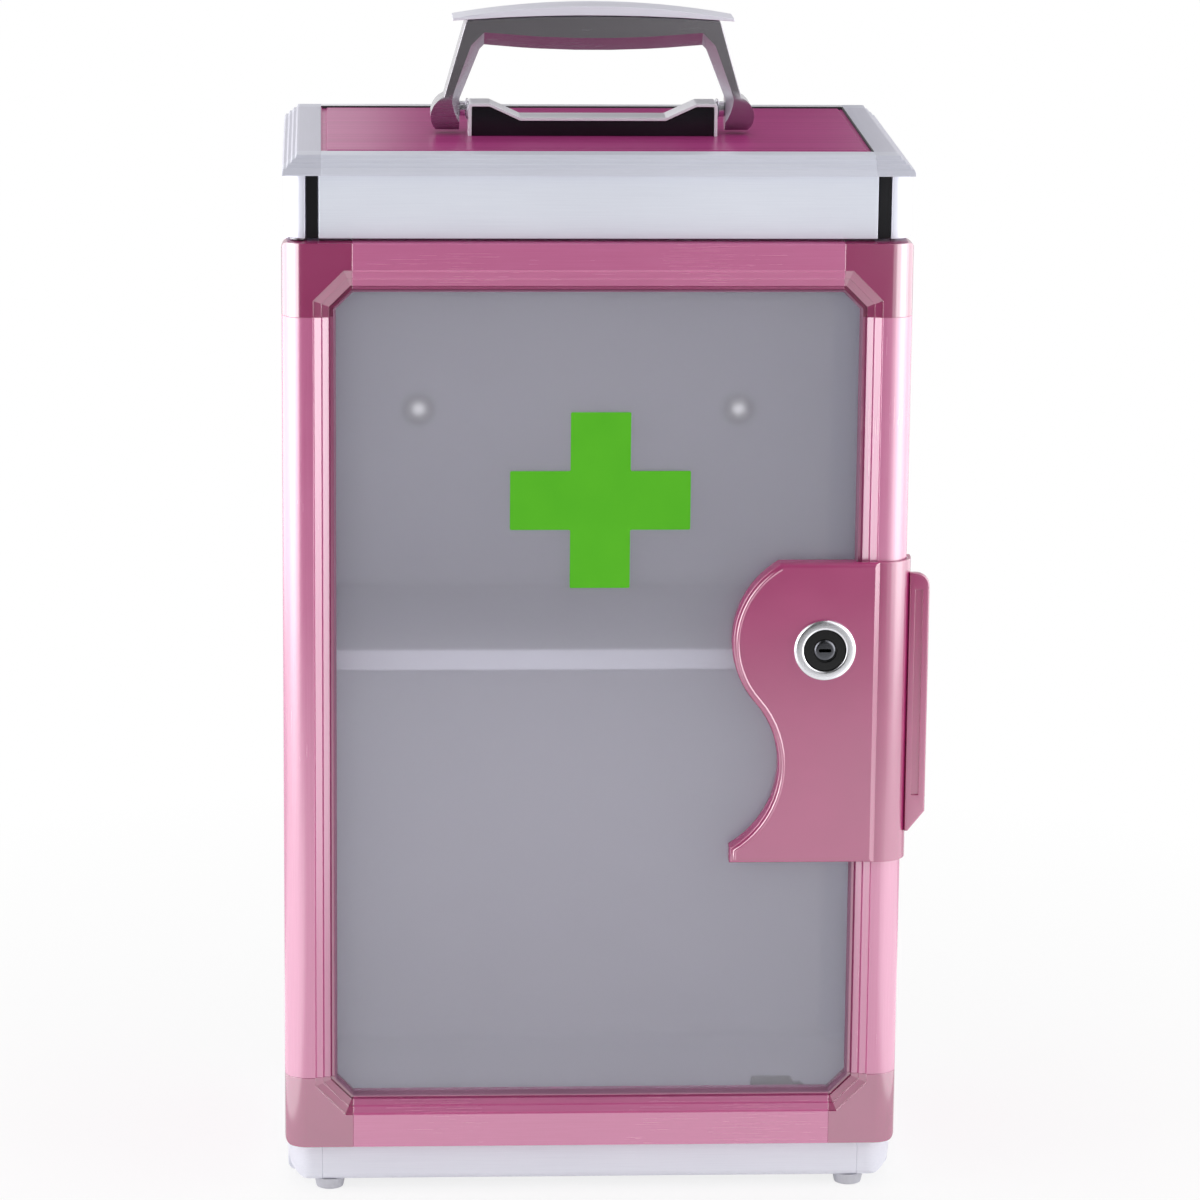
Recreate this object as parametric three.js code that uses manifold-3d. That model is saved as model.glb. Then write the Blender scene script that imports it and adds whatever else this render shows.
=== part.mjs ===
// Lockable medicine box: an aluminium and plastic carry cabinet with a framed frosted door,
// a cam lock under a shaped lock plate, one shelf, and a folding carry handle on the lid.
// Millimetres. +X is to the right, +Y runs back from the door, +Z is up, and the feet stand on z = 0.

import * as THREE from 'three';
import { mergeVertices } from 'three/addons/utils/BufferGeometryUtils.js';
import Module from 'manifold-3d';

const wasm = await Module();
wasm.setup();

// Fits
const clearance = 0.3; // between fitted pieces that don't touch on a flat face
const panelThickness = 1.8;
const drill = 1; // how far a cutting solid runs past the face that it opens

// Cabinet
const cabinetWidth = 218;
const cabinetFront = 4.5; // header and base faces stand this far behind the door's face
const cabinetRear = 138.5;
const footHeight = 4;
const footRadius = 5.5;
const footTaper = 0.85;
const footInset = 6.5; // foot centre to the base's outer face
const footFromSide = 15;
const baseHeight = 13.2;
const baseCornerWidth = 12.3;
const baseCornerRadius = 9.5;
const baseBallRadius = 10; // round under a base corner's outer side
const baseToeRadius = 3; // round under the outer face of each rim
const baseWall = 3;
const baseLip = 4.5;
const baseLedge = 11.5;
const baseLedgeThickness = 2;
const floorThickness = 2;
const floorSink = 0.8; // floor surface below the base's top
const headerHeight = 22.2;
const headerTrimWidth = 4.1;
const headerTrimSink = 0.8;
const headerTrimThickness = 4;
const headerCornerWidth = 7.3;
const headerCornerDepth = 10;
const postLeg = 14;
const postWall = 5;
const postRadius = 7;
const postFinger = 1.3; // outer and inner finger of a post's panel slot
const postSlotDepth = 7;

// Lid
const lidRise = 6.8;
const lidLip = 1.2;
const lidSlopeRun = 6;
const lidSteps = 4;
const lidStepNose = 0.65; // share of a step's run that its nose stands out
const lidStepFall = 0.15; // share of a step's rise that its tread falls
const lidBorder = 7.5;
const lidLedge = 3.5;
const lidOverFront = 2.5;
const lidOverSide = 0.6;
const lidOverRear = 1;
const topPanelThickness = 2;

// Door
const doorOverSide = 1; // the door is wider than the cabinet on each side
const doorHeight = 328.2;
const doorDepth = 16;
const doorGap = 1; // above and below the door
const doorJambGap = 0.8; // between the door's back and the posts
const stileWidth = 18;
const topRailWidth = 16.5;
const bottomRailWidth = 19.2;
const cornerReachX = 24.5;
const cornerReachZ = 26;
const cornerChamfer = 6.5;
const cornerOuterRadius = 2.5;
const borderSteps = [ // stepped border round the pane: reach from the opening, depth from the face
  { reach: 7, depth: 0.8 },
  { reach: 4.2, depth: 1.5 },
  { reach: 1.5, depth: 2.6 },
];
const borderStepLean = 0.3; // each step's wall slopes by this much
const backRebate = { reach: 4, depth: 10.5 };
const paneThickness = 3;
const paneFront = 4;
const paneSeat = 4.6; // how far the pane runs into the frame's slot
const paneSlot = 5;

// Pin hinge in the door's left corners
const hingeFromSide = 6;
const hingeFromFront = 8.5;
const hingePinRadius = 1.6;
const hingePinLength = 7;
const hingeCollarRadius = 3;

// Lock
const lockFromSide = 29.4;
const lockZ = 202.3;
const barrelRadius = 9.4;
const barrelFlangeRadius = 11;
const barrelFlangeThickness = 1.6;
const barrelRimBevel = 0.8;
const barrelMouthBevel = 0.4;
const plugSink = 0.5; // plug's face behind the flange's
const plugRadius = 7.2;
const keywayLength = 7;
const keywayHeight = 1.5;
const keywayDepth = 9;
const dimpleRadius = 4.4;
const dimpleDepth = 0.7;
const shankSide = 6;
const camHubRadius = 7;
const camTipRadius = 5;
const camReach = 22.4;
const camThickness = 2;
const camGap = 1.2; // between the cam and the post that it swings behind
const camSeat = 0.4; // between the barrel's end and the cam
const camScrewRadius = 4.2;
const camScrewHeight = 2.2;
const nutAcrossFlats = 22;
const nutThickness = 3.5;

// Lock plate, wrapped round the right stile
const plateProud = 3;
const plateWrap = 1.2;
const plateRise = 31.2; // above the lock's axis
const plateDrop = 78.2; // below the lock's axis
const plateWrapDepth = 12;
const plateBevel = 1.6;
const lobeRadius = 33.3;
const lobeFromLockX = 0.7;
const lobeTopAngle = 120.5; // degrees, where the lobe's round meets the plate's straight top
const waistRadius = 35.1;
const waistAngle = 221.1; // degrees, direction from the lobe's centre to the waist's
const plateTipFromSide = 62;
const plateStepWidth = 1.6; // slope from the plate's flat face down to its wrap
const plateStepGap = 2.4; // from the slope's foot to where the stile's round starts
const pullReach = 8;
const pullTop = 26.3; // above the lock's axis
const pullBottom = 68.2; // below the lock's axis
const pullRound = 4.8;
const pullSlantRise = 7.4; // slanted lower end
const pullStub = 0.6; // from the wrap to the slant's foot
const pullRim = 2.4; // outside the pull's finger channel
const pullChannelFromWrap = 1.4;
const pullChannelDepth = 0.7;
const pullChannelEnd = 6; // from the channel to the pull's top, and to the slant
const pullFront = 3;
const pullThickness = 3;
const pullBevel = 0.6;

// Magnetic catch on the floor behind the door's foot
const catchWidth = 22;
const catchDepth = 14;
const catchHeight = 15.5;
const catchFromSide = 40; // its centre to the door's edge
const catchGap = 0.3;
const catchCrown = 3;
const magnetInset = 4; // the magnet's slot in the catch's front face
const magnetLow = 5;
const magnetHeight = 5;
const magnetDepth = 1.2;
const catchPlateWidth = 18;
const catchPlateHeight = 11;
const catchPlateThickness = 0.7;
const catchPlateRise = 2.2;

// Shelf and rear panel
const shelfTop = 195.1;
const shelfThickness = 4;
const shelfEdgeHeight = 7.4;
const shelfEdgeWall = 1.2;
const shelfEdgeFlange = 9;
const shelfFront = 29;
const shelfRailLeg = 10;
const shelfRailWall = 1.2;
const shelfRailInset = 3;
const hangHoleRadius = 4;
const hangHoleSpacing = 120;
const hangHoleZ = 261.6;

// Carry handle and its bracket
const handleY = 60;
const pivotRise = 8.6; // above the lid
const pivotRadius = 2;
const pivotGap = 0.4;
const pivotLength = 6.2;
const bracketHalf = 45.5;
const bracketDepth = 8;
const bracketMid = 5.4;
const bracketLug = 10.4;
const bracketLugFlat = 6.8;
const bracketLugSlope = 9.5;
const strapThickness = 0.8;
const strapOverhang = 0.6;
const handleDepth = 15;
const handleFootGap = 0.6; // between the strap and a foot
const legFootThickness = 10.2;
const legOuterLean = 12.4; // a leg's outer face leans inwards by this much
const legInnerLean = 7.8;
const footBossRadius = 7.9; // round boss on a foot's outer side
const footBossDrop = 2.1; // its centre below the pivot
const footBossTop = 66; // degrees, from where its round meets the leg
const footBossEnd = -42;
const footRound = 15.5; // height over which a foot's front and back curve in
const gripTopRise = 42.4; // above the lid
const gripTopSag = 1.6;
const gripBottomRise = 30.1;
const gripBottomBelly = 1.9;
const gripShoulderDrop = 1.6; // corner cut between a leg and the crown
const gripShoulderRun = 1;
const gripInnerDrop = 1.6; // corner cut between a leg and the grip's underside
const gripInnerRun = 1.6;
const legBreakRise = 4.2; // above the pivot, where a leg starts to lean inwards
const gripEdge = 0.6; // small bevel round the handle's outside
const gripChamfer = 4.6; // height of the chamfer along the grip's underside
const legChamfer = 3; // its width along a leg
const gripChamferDepth = 3;
const capPastShoulder = 4.8;
const capRise = 3.3;
const capEndThickness = 0.9;
const capDroop = 0.4; // the cap's ends hang below the grip's shoulders
const capOverhang = 0.3;

// Derived planes
const halfCabinet = cabinetWidth / 2;
const halfDoor = halfCabinet + doorOverSide;
const lockX = halfDoor - lockFromSide;
const plateTipX = halfDoor - plateTipFromSide;
const catchCentreX = halfDoor - catchFromSide;
const baseTop = footHeight + baseHeight;
const floorTop = baseTop - floorSink;
const doorBottom = baseTop + doorGap;
const doorTop = doorBottom + doorHeight;
const headerBottom = doorTop + doorGap;
const headerTop = headerBottom + headerHeight;
const lidTop = headerTop + lidRise;
const postFront = doorDepth + doorJambGap;
const halfPane = halfDoor - stileWidth;
const paneBottom = doorBottom + bottomRailWidth;
const paneTop = doorTop - topRailWidth;
const slotNear = postFinger; // panel slot, measured from a post's outer face
const slotFar = postFinger + panelThickness + 2 * clearance;
const panelNear = slotNear + clearance;
const panelFar = panelNear + panelThickness;
const lidWidth = cabinetWidth + 2 * lidOverSide;
const lidFront = cabinetFront - lidOverFront;
const lidRear = cabinetRear + lidOverRear;
const lidEdge = lidSlopeRun + lidBorder;
const hingeX = -halfDoor + hingeFromSide;
const camFront = postFront + postWall + camGap;
const pivotZ = lidTop + pivotRise;
const handleInnerFoot = bracketHalf + clearance + strapThickness + handleFootGap;
const handleFootHalf = handleInnerFoot + legFootThickness;
const handleShoulderHalf = handleFootHalf - legOuterLean;
const handleInnerTop = handleInnerFoot - legInnerLean;
const capHalf = handleShoulderHalf + capPastShoulder;

// Materials
const finish = (color, roughness, metalness, extra = {}) =>
  new THREE.MeshStandardMaterial({ color, roughness, metalness, ...extra });
const pinkMetal = finish(0xb85c88, 0.38, 0.75);
const pinkPlastic = finish(0x9c4a72, 0.35, 0.35);
const pinkPanel = finish(0xa84a80, 0.3, 0.4);
const silver = finish(0xd2d5de, 0.35, 0.8);
const silverPanel = finish(0xd3d5e1, 0.45, 0.6);
const blackPlastic = finish(0x232427, 0.4, 0.0);
const greyLiner = finish(0xb4b6bb, 0.5, 0.3);
const frosted = finish(0xa0a0a6, 0.6, 0.0, { transparent: true, opacity: 0.75 });
const chrome = finish(0xd8d8dc, 0.12, 1.0);
const steel = finish(0x9a9ca0, 0.35, 0.9);
const rubber = finish(0x2b2b2e, 0.9, 0.0);

// Solid helpers
const asSolid = (geometry) => {
  const bare = geometry.clone();
  bare.deleteAttribute('normal');
  bare.deleteAttribute('uv');
  const merged = mergeVertices(bare, 1e-4);
  const index = Array.from(merged.index.array);
  const place = merged.attributes.position;
  const a = new THREE.Vector3();
  const b = new THREE.Vector3();
  const c = new THREE.Vector3();
  let volume = 0;
  for (let i = 0; i < index.length; i += 3) {
    a.fromBufferAttribute(place, index[i]);
    b.fromBufferAttribute(place, index[i + 1]);
    c.fromBufferAttribute(place, index[i + 2]);
    volume += a.dot(b.cross(c));
  }
  if (volume < 0) index.reverse();
  return new wasm.Manifold(new wasm.Mesh({
    numProp: 3,
    vertProperties: new Float32Array(place.array),
    triVerts: new Uint32Array(index),
  }));
};

const asGeometry = (solid) => {
  const mesh = solid.getMesh();
  const geometry = new THREE.BufferGeometry();
  geometry.setAttribute('position', new THREE.BufferAttribute(mesh.vertProperties, 3));
  geometry.setIndex(new THREE.BufferAttribute(mesh.triVerts, 1));
  geometry.computeVertexNormals();
  return geometry;
};

const shapeOf = (points) => new THREE.Shape(points.map(([x, y]) => new THREE.Vector2(x, y)));

const arc = (cx, cy, radius, fromDeg, toDeg, steps) => {
  const points = [];
  for (let i = 0; i <= steps; i += 1) {
    const angle = THREE.MathUtils.degToRad(fromDeg + (toDeg - fromDeg) * i / steps);
    points.push([cx + radius * Math.cos(angle), cy + radius * Math.sin(angle)]);
  }
  return points;
};

const extrude = (shape, length, bevel = 0) => new THREE.ExtrudeGeometry(shape, {
  depth: length - 2 * bevel,
  bevelEnabled: bevel > 0,
  bevelThickness: bevel,
  bevelSize: bevel,
  bevelOffset: -bevel,
  bevelSegments: 2,
});

// Prisms along each axis, from an outline in the other two
const prismZ = (points, z0, z1, bevel = 0) => {
  const geometry = extrude(shapeOf(points), z1 - z0, bevel);
  geometry.translate(0, 0, z0 + bevel);
  return asSolid(geometry);
};

const prismY = (points, y0, y1, bevel = 0) => {
  const shape = points instanceof THREE.Shape ? points : shapeOf(points);
  const geometry = extrude(shape, y1 - y0, bevel);
  geometry.rotateX(Math.PI / 2);
  geometry.translate(0, y1 - bevel, 0);
  return asSolid(geometry);
};

const yzToXyz = new THREE.Matrix4().makeBasis(
  new THREE.Vector3(0, 1, 0),
  new THREE.Vector3(0, 0, 1),
  new THREE.Vector3(1, 0, 0),
);

const prismX = (points, x0, x1, bevel = 0) => {
  const geometry = extrude(shapeOf(points), x1 - x0, bevel);
  geometry.applyMatrix4(yzToXyz);
  geometry.translate(x0 + bevel, 0, 0);
  return asSolid(geometry);
};

const block = (x0, x1, y0, y1, z0, z1) => {
  const geometry = new THREE.BoxGeometry(x1 - x0, y1 - y0, z1 - z0);
  geometry.translate((x0 + x1) / 2, (y0 + y1) / 2, (z0 + z1) / 2);
  return asSolid(geometry);
};

const rodAlong = (axis, radius, from, to, centre, sides = 32) => {
  const geometry = new THREE.CylinderGeometry(radius, radius, to - from, sides);
  geometry.translate(0, (from + to) / 2, 0);
  if (axis === 'x') geometry.rotateZ(-Math.PI / 2);
  if (axis === 'z') geometry.rotateX(Math.PI / 2);
  geometry.translate(...centre);
  return asSolid(geometry);
};

// Solid through outlines with equally many points, each [outline, y], in order of y
const loftY = (sections) => {
  const count = sections[0][0].length;
  const index = [];
  for (let s = 0; s + 1 < sections.length; s += 1) {
    for (let i = 0; i < count; i += 1) {
      const a = s * count + i;
      const b = s * count + (i + 1) % count;
      index.push(a, a + count, b, b, a + count, b + count);
    }
  }
  const last = (sections.length - 1) * count;
  const ends = [sections[0], sections[sections.length - 1]]
    .map(([outline]) => THREE.ShapeUtils.triangulateShape(shapeOf(outline).getPoints(), []));
  for (const [a, b, c] of ends[0]) index.push(a, b, c);
  for (const [a, b, c] of ends[1]) index.push(last + c, last + b, last + a);
  const points = sections.flatMap(([outline, y]) => outline.flatMap(([x, z]) => [x, y, z]));
  const geometry = new THREE.BufferGeometry();
  geometry.setAttribute('position', new THREE.Float32BufferAttribute(points, 3));
  geometry.setIndex(index);
  return asSolid(geometry);
};

const turnedAlongY = (profile, x, z, sides = 48) => {
  const geometry = new THREE.LatheGeometry(profile.map(([r, y]) => new THREE.Vector2(r, y)), sides);
  geometry.translate(x, 0, z);
  return asSolid(geometry);
};

const model = new THREE.Group();

const add = (name, solid, material) => {
  const mesh = new THREE.Mesh(asGeometry(solid), material);
  mesh.name = name;
  model.add(mesh);
};

const sides = [['left', -1], ['right', 1]];
const ordered = (a, b) => (a < b ? [a, b] : [b, a]);

// Span between two x values given for the right side, mirrored when side is -1
const spanX = (side, a, b) => ordered(side * a, side * b);

// Corner posts: an extruded section with a round outer corner and two panel slots
const postSection = (side, outerY, inwardY) => {
  const place = ([p, q]) => [side * (halfCabinet - p), outerY + inwardY * q];
  const slotEnd = postLeg - postSlotDepth;
  return [
    [postLeg, 0], [postLeg, slotNear], [slotEnd, slotNear], [slotEnd, slotFar],
    [postLeg, slotFar], [postLeg, postWall], [postWall, postWall], [postWall, postLeg],
    [slotFar, postLeg], [slotFar, slotEnd], [slotNear, slotEnd], [slotNear, postLeg],
    [0, postLeg],
    ...arc(postRadius, postRadius, postRadius, 180, 270, 8),
  ].map(place);
};

const makePosts = () => {
  for (const [name, side] of sides) {
    const front = postSection(side, postFront, 1);
    const rear = postSection(side, cabinetRear, -1);
    add(`post_front_${name}`, prismZ(front, baseTop, headerBottom), silver);
    add(`post_rear_${name}`, prismZ(rear, baseTop, headerTop), silver);
  }
};

const makePanels = () => {
  const slotEnd = postLeg - postSlotDepth;
  const sideFront = postFront + slotEnd + clearance;
  const sideRear = cabinetRear - slotEnd - clearance;
  for (const [name, side] of sides) {
    const [x0, x1] = spanX(side, halfCabinet - panelFar, halfCabinet - panelNear);
    add(`side_panel_${name}`, block(x0, x1, sideFront, sideRear, baseTop, headerTop), pinkPanel);
  }
  const halfRear = halfCabinet - slotEnd - clearance;
  const rearShape = shapeOf([
    [-halfRear, baseTop], [halfRear, baseTop], [halfRear, headerTop], [-halfRear, headerTop],
  ]);
  for (const [, side] of sides) {
    const hole = new THREE.Path();
    hole.absarc(side * hangHoleSpacing / 2, hangHoleZ, hangHoleRadius, 0, 2 * Math.PI, true);
    rearShape.holes.push(hole);
  }
  add('rear_panel', prismY(rearShape, cabinetRear - panelFar, cabinetRear - panelNear), greyLiner);
};

// Header band over the door: a bent front sheet, black end trims and rounded corners
const makeHeader = () => {
  const corner = (side) => {
    const place = ([p, q]) => [side * (halfCabinet - p), cabinetFront + q];
    const legEnd = postFront + postLeg - cabinetFront;
    const slotEnd = legEnd - postSlotDepth;
    return [
      [headerCornerWidth, 0], [headerCornerWidth, headerCornerDepth], [postWall, headerCornerDepth],
      [postWall, legEnd], [slotFar, legEnd], [slotFar, slotEnd], [slotNear, slotEnd],
      [slotNear, legEnd], [0, legEnd],
      ...arc(postRadius, postRadius, postRadius, 180, 270, 8),
    ].map(place);
  };
  const trimOuter = halfCabinet - headerCornerWidth - clearance;
  const trimInner = trimOuter - headerTrimWidth;
  const trimFront = cabinetFront + headerTrimSink;
  for (const [name, side] of sides) {
    const pinBore = rodAlong('z', hingePinRadius + clearance, headerBottom - drill,
      headerBottom + hingePinLength + clearance, [hingeX, hingeFromFront, 0], 24);
    const post = prismZ(corner(side), headerBottom, headerTop);
    add(`header_corner_${name}`, side < 0 ? post.subtract(pinBore) : post, silver);
    const [x0, x1] = spanX(side, trimInner, trimOuter);
    const trim = block(x0, x1, trimFront, trimFront + headerTrimThickness, headerBottom, headerTop);
    add(`header_trim_${name}`, trim, blackPlastic);
  }
  const flangeRear = postFront + postLeg;
  const sheet = [
    [cabinetFront, headerBottom], [flangeRear, headerBottom],
    [flangeRear, headerBottom + panelThickness],
    [cabinetFront + panelThickness, headerBottom + panelThickness],
    [cabinetFront + panelThickness, headerTop], [cabinetFront, headerTop],
  ];
  const halfSheet = trimInner - clearance;
  add('header_panel', prismX(sheet, -halfSheet, halfSheet), silverPanel);
};

// Lid: four stepped rims, corner caps where their ribs turn, and a flush top panel
const rimSection = (withLedge) => {
  const points = [[0, -lidRise], [0, -lidRise + lidLip]];
  const stepRun = lidSlopeRun / lidSteps;
  const stepRise = (lidRise - lidLip) / lidSteps;
  for (let i = 1; i <= lidSteps; i += 1) {
    const height = -lidRise + lidLip + stepRise * i;
    points.push([stepRun * (i - lidStepNose), height - stepRise * lidStepFall]);
    points.push([stepRun * i, height]);
  }
  points.push([lidEdge, 0]);
  if (withLedge) {
    points.push([lidEdge, -topPanelThickness], [lidEdge + lidLedge, -topPanelThickness]);
    points.push([lidEdge + lidLedge, -lidRise]);
  } else {
    points.push([lidEdge, -lidRise]);
  }
  return points;
};

const makeLid = () => {
  const halfLid = lidWidth / 2;
  const acrossFront = (points) => points.map(([s, z]) => [lidFront + s, lidTop + z]);
  const acrossRear = (points) => points.map(([s, z]) => [lidRear - s, lidTop + z]);
  const acrossSide = (points, side) => points.map(([s, z]) => [side * (halfLid - s), lidTop + z]);
  const ends = [['front', acrossFront, lidFront], ['rear', acrossRear, lidRear]];
  const sideStart = lidFront + lidEdge;
  const sideEnd = lidRear - lidEdge;
  const ledgeTop = lidTop - topPanelThickness;
  for (const [end, across, edgeY] of ends) {
    const halfRim = halfLid - lidEdge;
    const inward = end === 'front' ? 1 : -1;
    let rim = prismX(across(rimSection(true)), -halfRim, halfRim);
    const ledgeNear = edgeY + inward * lidEdge;
    const ledgeFar = edgeY + inward * (lidEdge + lidLedge + drill);
    for (const [, side] of sides) {
      const [x0, x1] = spanX(side, halfRim - lidLedge - clearance, halfRim + drill);
      const [y0, y1] = ordered(ledgeNear, ledgeFar);
      rim = rim.subtract(block(x0, x1, y0, y1, headerTop - drill, ledgeTop + drill));
    }
    add(`lid_rim_${end}`, rim, silver);
    for (const [name, side] of sides) {
      const [x0, x1] = spanX(side, halfRim, halfLid + drill);
      const [y0, y1] = ordered(edgeY - inward * drill, ledgeNear);
      const cap = prismX(across(rimSection(false)), x0, x1)
        .intersect(prismY(acrossSide(rimSection(false), side), y0, y1));
      add(`lid_cap_${end}_${name}`, cap, silver);
    }
  }
  for (const [name, side] of sides) {
    add(`lid_rim_${name}`, prismY(acrossSide(rimSection(true), side), sideStart, sideEnd), silver);
  }
  const halfTop = halfLid - lidEdge - clearance;
  const top = block(-halfTop, halfTop, sideStart + clearance, sideEnd - clearance, ledgeTop, lidTop);
  add('top_panel', top, pinkPanel);
};

// Base: channel rims between rounded corners, with the floor panel lying on their ledges
const makeBase = () => {
  const section = [
    ...arc(baseToeRadius, footHeight + baseToeRadius, baseToeRadius, 270, 180, 5),
    [0, baseTop], [baseLip, baseTop], [baseLip, floorTop - floorThickness],
    [baseLedge, floorTop - floorThickness], [baseLedge, floorTop - floorThickness - baseLedgeThickness],
    [baseWall, floorTop - floorThickness - baseLedgeThickness], [baseWall, footHeight + baseLedgeThickness],
    [baseLedge, footHeight + baseLedgeThickness], [baseLedge, footHeight],
  ];
  const halfFront = halfCabinet - baseCornerWidth;
  const sideStart = cabinetFront + baseCornerWidth;
  const sideEnd = cabinetRear - baseCornerWidth;
  const front = section.map(([s, z]) => [cabinetFront + s, z]);
  const rear = section.map(([s, z]) => [cabinetRear - s, z]);
  add('base_rim_front', prismX(front, -halfFront, halfFront), silver);
  add('base_rim_rear', prismX(rear, -halfFront, halfFront), silver);
  for (const [name, side] of sides) {
    const flank = section.map(([s, z]) => [side * (halfCabinet - s), z]);
    add(`base_rim_${name}`, prismY(flank, sideStart, sideEnd), silver);
  }
  const far = baseCornerWidth + drill;
  const cornerSection = (radius) => [
    [far, footHeight], [far, baseTop], [0, baseTop],
    ...arc(radius, footHeight + radius, radius, 180, 270, 8),
  ];
  for (const [end, edgeY, inward] of [['front', cabinetFront, 1], ['rear', cabinetRear, -1]]) {
    for (const [name, side] of sides) {
      const place = ([p, q]) => [side * (halfCabinet - p), edgeY + inward * q];
      const outline = [
        [far, 0], [far, far], [0, far],
        ...arc(baseCornerRadius, baseCornerRadius, baseCornerRadius, 180, 270, 10),
      ].map(place);
      const [x0, x1] = spanX(side, halfFront, halfCabinet);
      const [y0, y1] = ordered(edgeY, edgeY + inward * baseCornerWidth);
      const ball = cornerSection(baseBallRadius).map(([p, z]) => [side * (halfCabinet - p), z]);
      const toe = cornerSection(baseToeRadius).map(([q, z]) => [edgeY + inward * q, z]);
      let corner = prismZ(outline, footHeight - drill, baseTop + drill)
        .intersect(prismY(ball, y0, y1))
        .intersect(prismX(toe, x0, x1));
      if (end === 'front' && side < 0) {
        const pinHole = rodAlong('z', hingePinRadius + clearance, baseTop - hingePinLength - clearance,
          baseTop + drill, [hingeX, hingeFromFront, 0], 24);
        corner = corner.subtract(pinHole);
      }
      add(`base_corner_${end}_${name}`, corner, silver);
      const footY = edgeY + inward * footInset;
      const footX = side * (halfCabinet - footFromSide);
      const foot = new THREE.CylinderGeometry(footRadius, footRadius * footTaper, footHeight, 28);
      foot.rotateX(Math.PI / 2);
      foot.translate(footX, footY, footHeight / 2);
      add(`foot_${end}_${name}`, asSolid(foot), rubber);
    }
  }
  const floorHalf = halfCabinet - baseLip - clearance;
  const floorFront = cabinetFront + baseLip + clearance;
  const floorRear = cabinetRear - baseLip - clearance;
  const notchX = halfFront - clearance;
  const notchFront = sideStart + clearance;
  const notchRear = sideEnd - clearance;
  const floorOutline = [
    [-notchX, floorFront], [notchX, floorFront], [notchX, notchFront], [floorHalf, notchFront],
    [floorHalf, notchRear], [notchX, notchRear], [notchX, floorRear], [-notchX, floorRear],
    [-notchX, notchRear], [-floorHalf, notchRear], [-floorHalf, notchFront], [-notchX, notchFront],
  ];
  add('floor_panel', prismZ(floorOutline, floorTop - floorThickness, floorTop), greyLiner);
};

// Shelf, its bright front edge and the two angles that carry it
const makeShelf = () => {
  const halfShelf = halfCabinet - postWall - 2 * clearance;
  const shelfRear = cabinetRear - postWall - clearance;
  const under = shelfTop - shelfThickness;
  const boardFront = shelfFront + shelfEdgeWall + clearance;
  add('shelf_board', block(-halfShelf, halfShelf, boardFront, shelfRear, under, shelfTop), greyLiner);
  const low = shelfTop - shelfEdgeHeight;
  const inner = shelfFront + shelfEdgeWall;
  const flangeEnd = shelfFront + shelfEdgeFlange;
  const edge = [
    [shelfFront, low], [inner, low], [inner, under - shelfEdgeWall], [flangeEnd, under - shelfEdgeWall],
    [flangeEnd, under], [inner, under], [inner, shelfTop], [shelfFront, shelfTop],
  ];
  add('shelf_edge', prismX(edge, -halfShelf, halfShelf), silver);
  const railOuter = halfCabinet - panelFar;
  const railStart = flangeEnd + shelfRailInset;
  const railEnd = cabinetRear - postLeg - shelfRailInset;
  for (const [name, side] of sides) {
    const angle = [
      [railOuter, under], [railOuter - shelfRailLeg, under],
      [railOuter - shelfRailLeg, under - shelfRailWall], [railOuter - shelfRailWall, under - shelfRailWall],
      [railOuter - shelfRailWall, under - shelfRailLeg], [railOuter, under - shelfRailLeg],
    ].map(([x, z]) => [side * x, z]);
    add(`shelf_rail_${name}`, prismY(angle, railStart, railEnd), silver);
  }
};

// Door frame: bullnose stiles, square-edged rails and moulded corners round one pane
const frameSection = (width, bullnose) => {
  const points = [];
  if (bullnose) {
    const radius = doorDepth / 2;
    points.push(...arc(radius, radius, radius, 90, 270, 16));
  } else {
    points.push([0, doorDepth], [0, 0]);
  }
  let depth = 0;
  for (const step of borderSteps) {
    points.push([width - step.reach, depth], [width - step.reach + borderStepLean, step.depth]);
    depth = step.depth;
  }
  points.push([width, depth], [width, paneFront - clearance]);
  points.push([width - paneSlot, paneFront - clearance]);
  points.push([width - paneSlot, paneFront + paneThickness + clearance]);
  points.push([width, paneFront + paneThickness + clearance], [width, backRebate.depth]);
  points.push([width - backRebate.reach, backRebate.depth], [width - backRebate.reach, doorDepth]);
  return points;
};

// The opening's corner, moved outwards by reach, as the region on the pane's side of that line
const openingCorner = (side, up, reach) => {
  const cornerX = halfPane + reach;
  const cornerZ = up > 0 ? paneTop + reach : paneBottom - reach;
  const chamfer = cornerChamfer + reach * (2 - Math.SQRT2);
  const farX = halfDoor - cornerReachX - drill;
  const farZ = up > 0 ? doorTop - cornerReachZ - drill : doorBottom + cornerReachZ + drill;
  return [
    [cornerX, farZ], [cornerX, cornerZ - up * chamfer], [cornerX - chamfer, cornerZ],
    [farX, cornerZ], [farX, farZ],
  ].map(([x, z]) => [side * x, z]);
};

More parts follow.
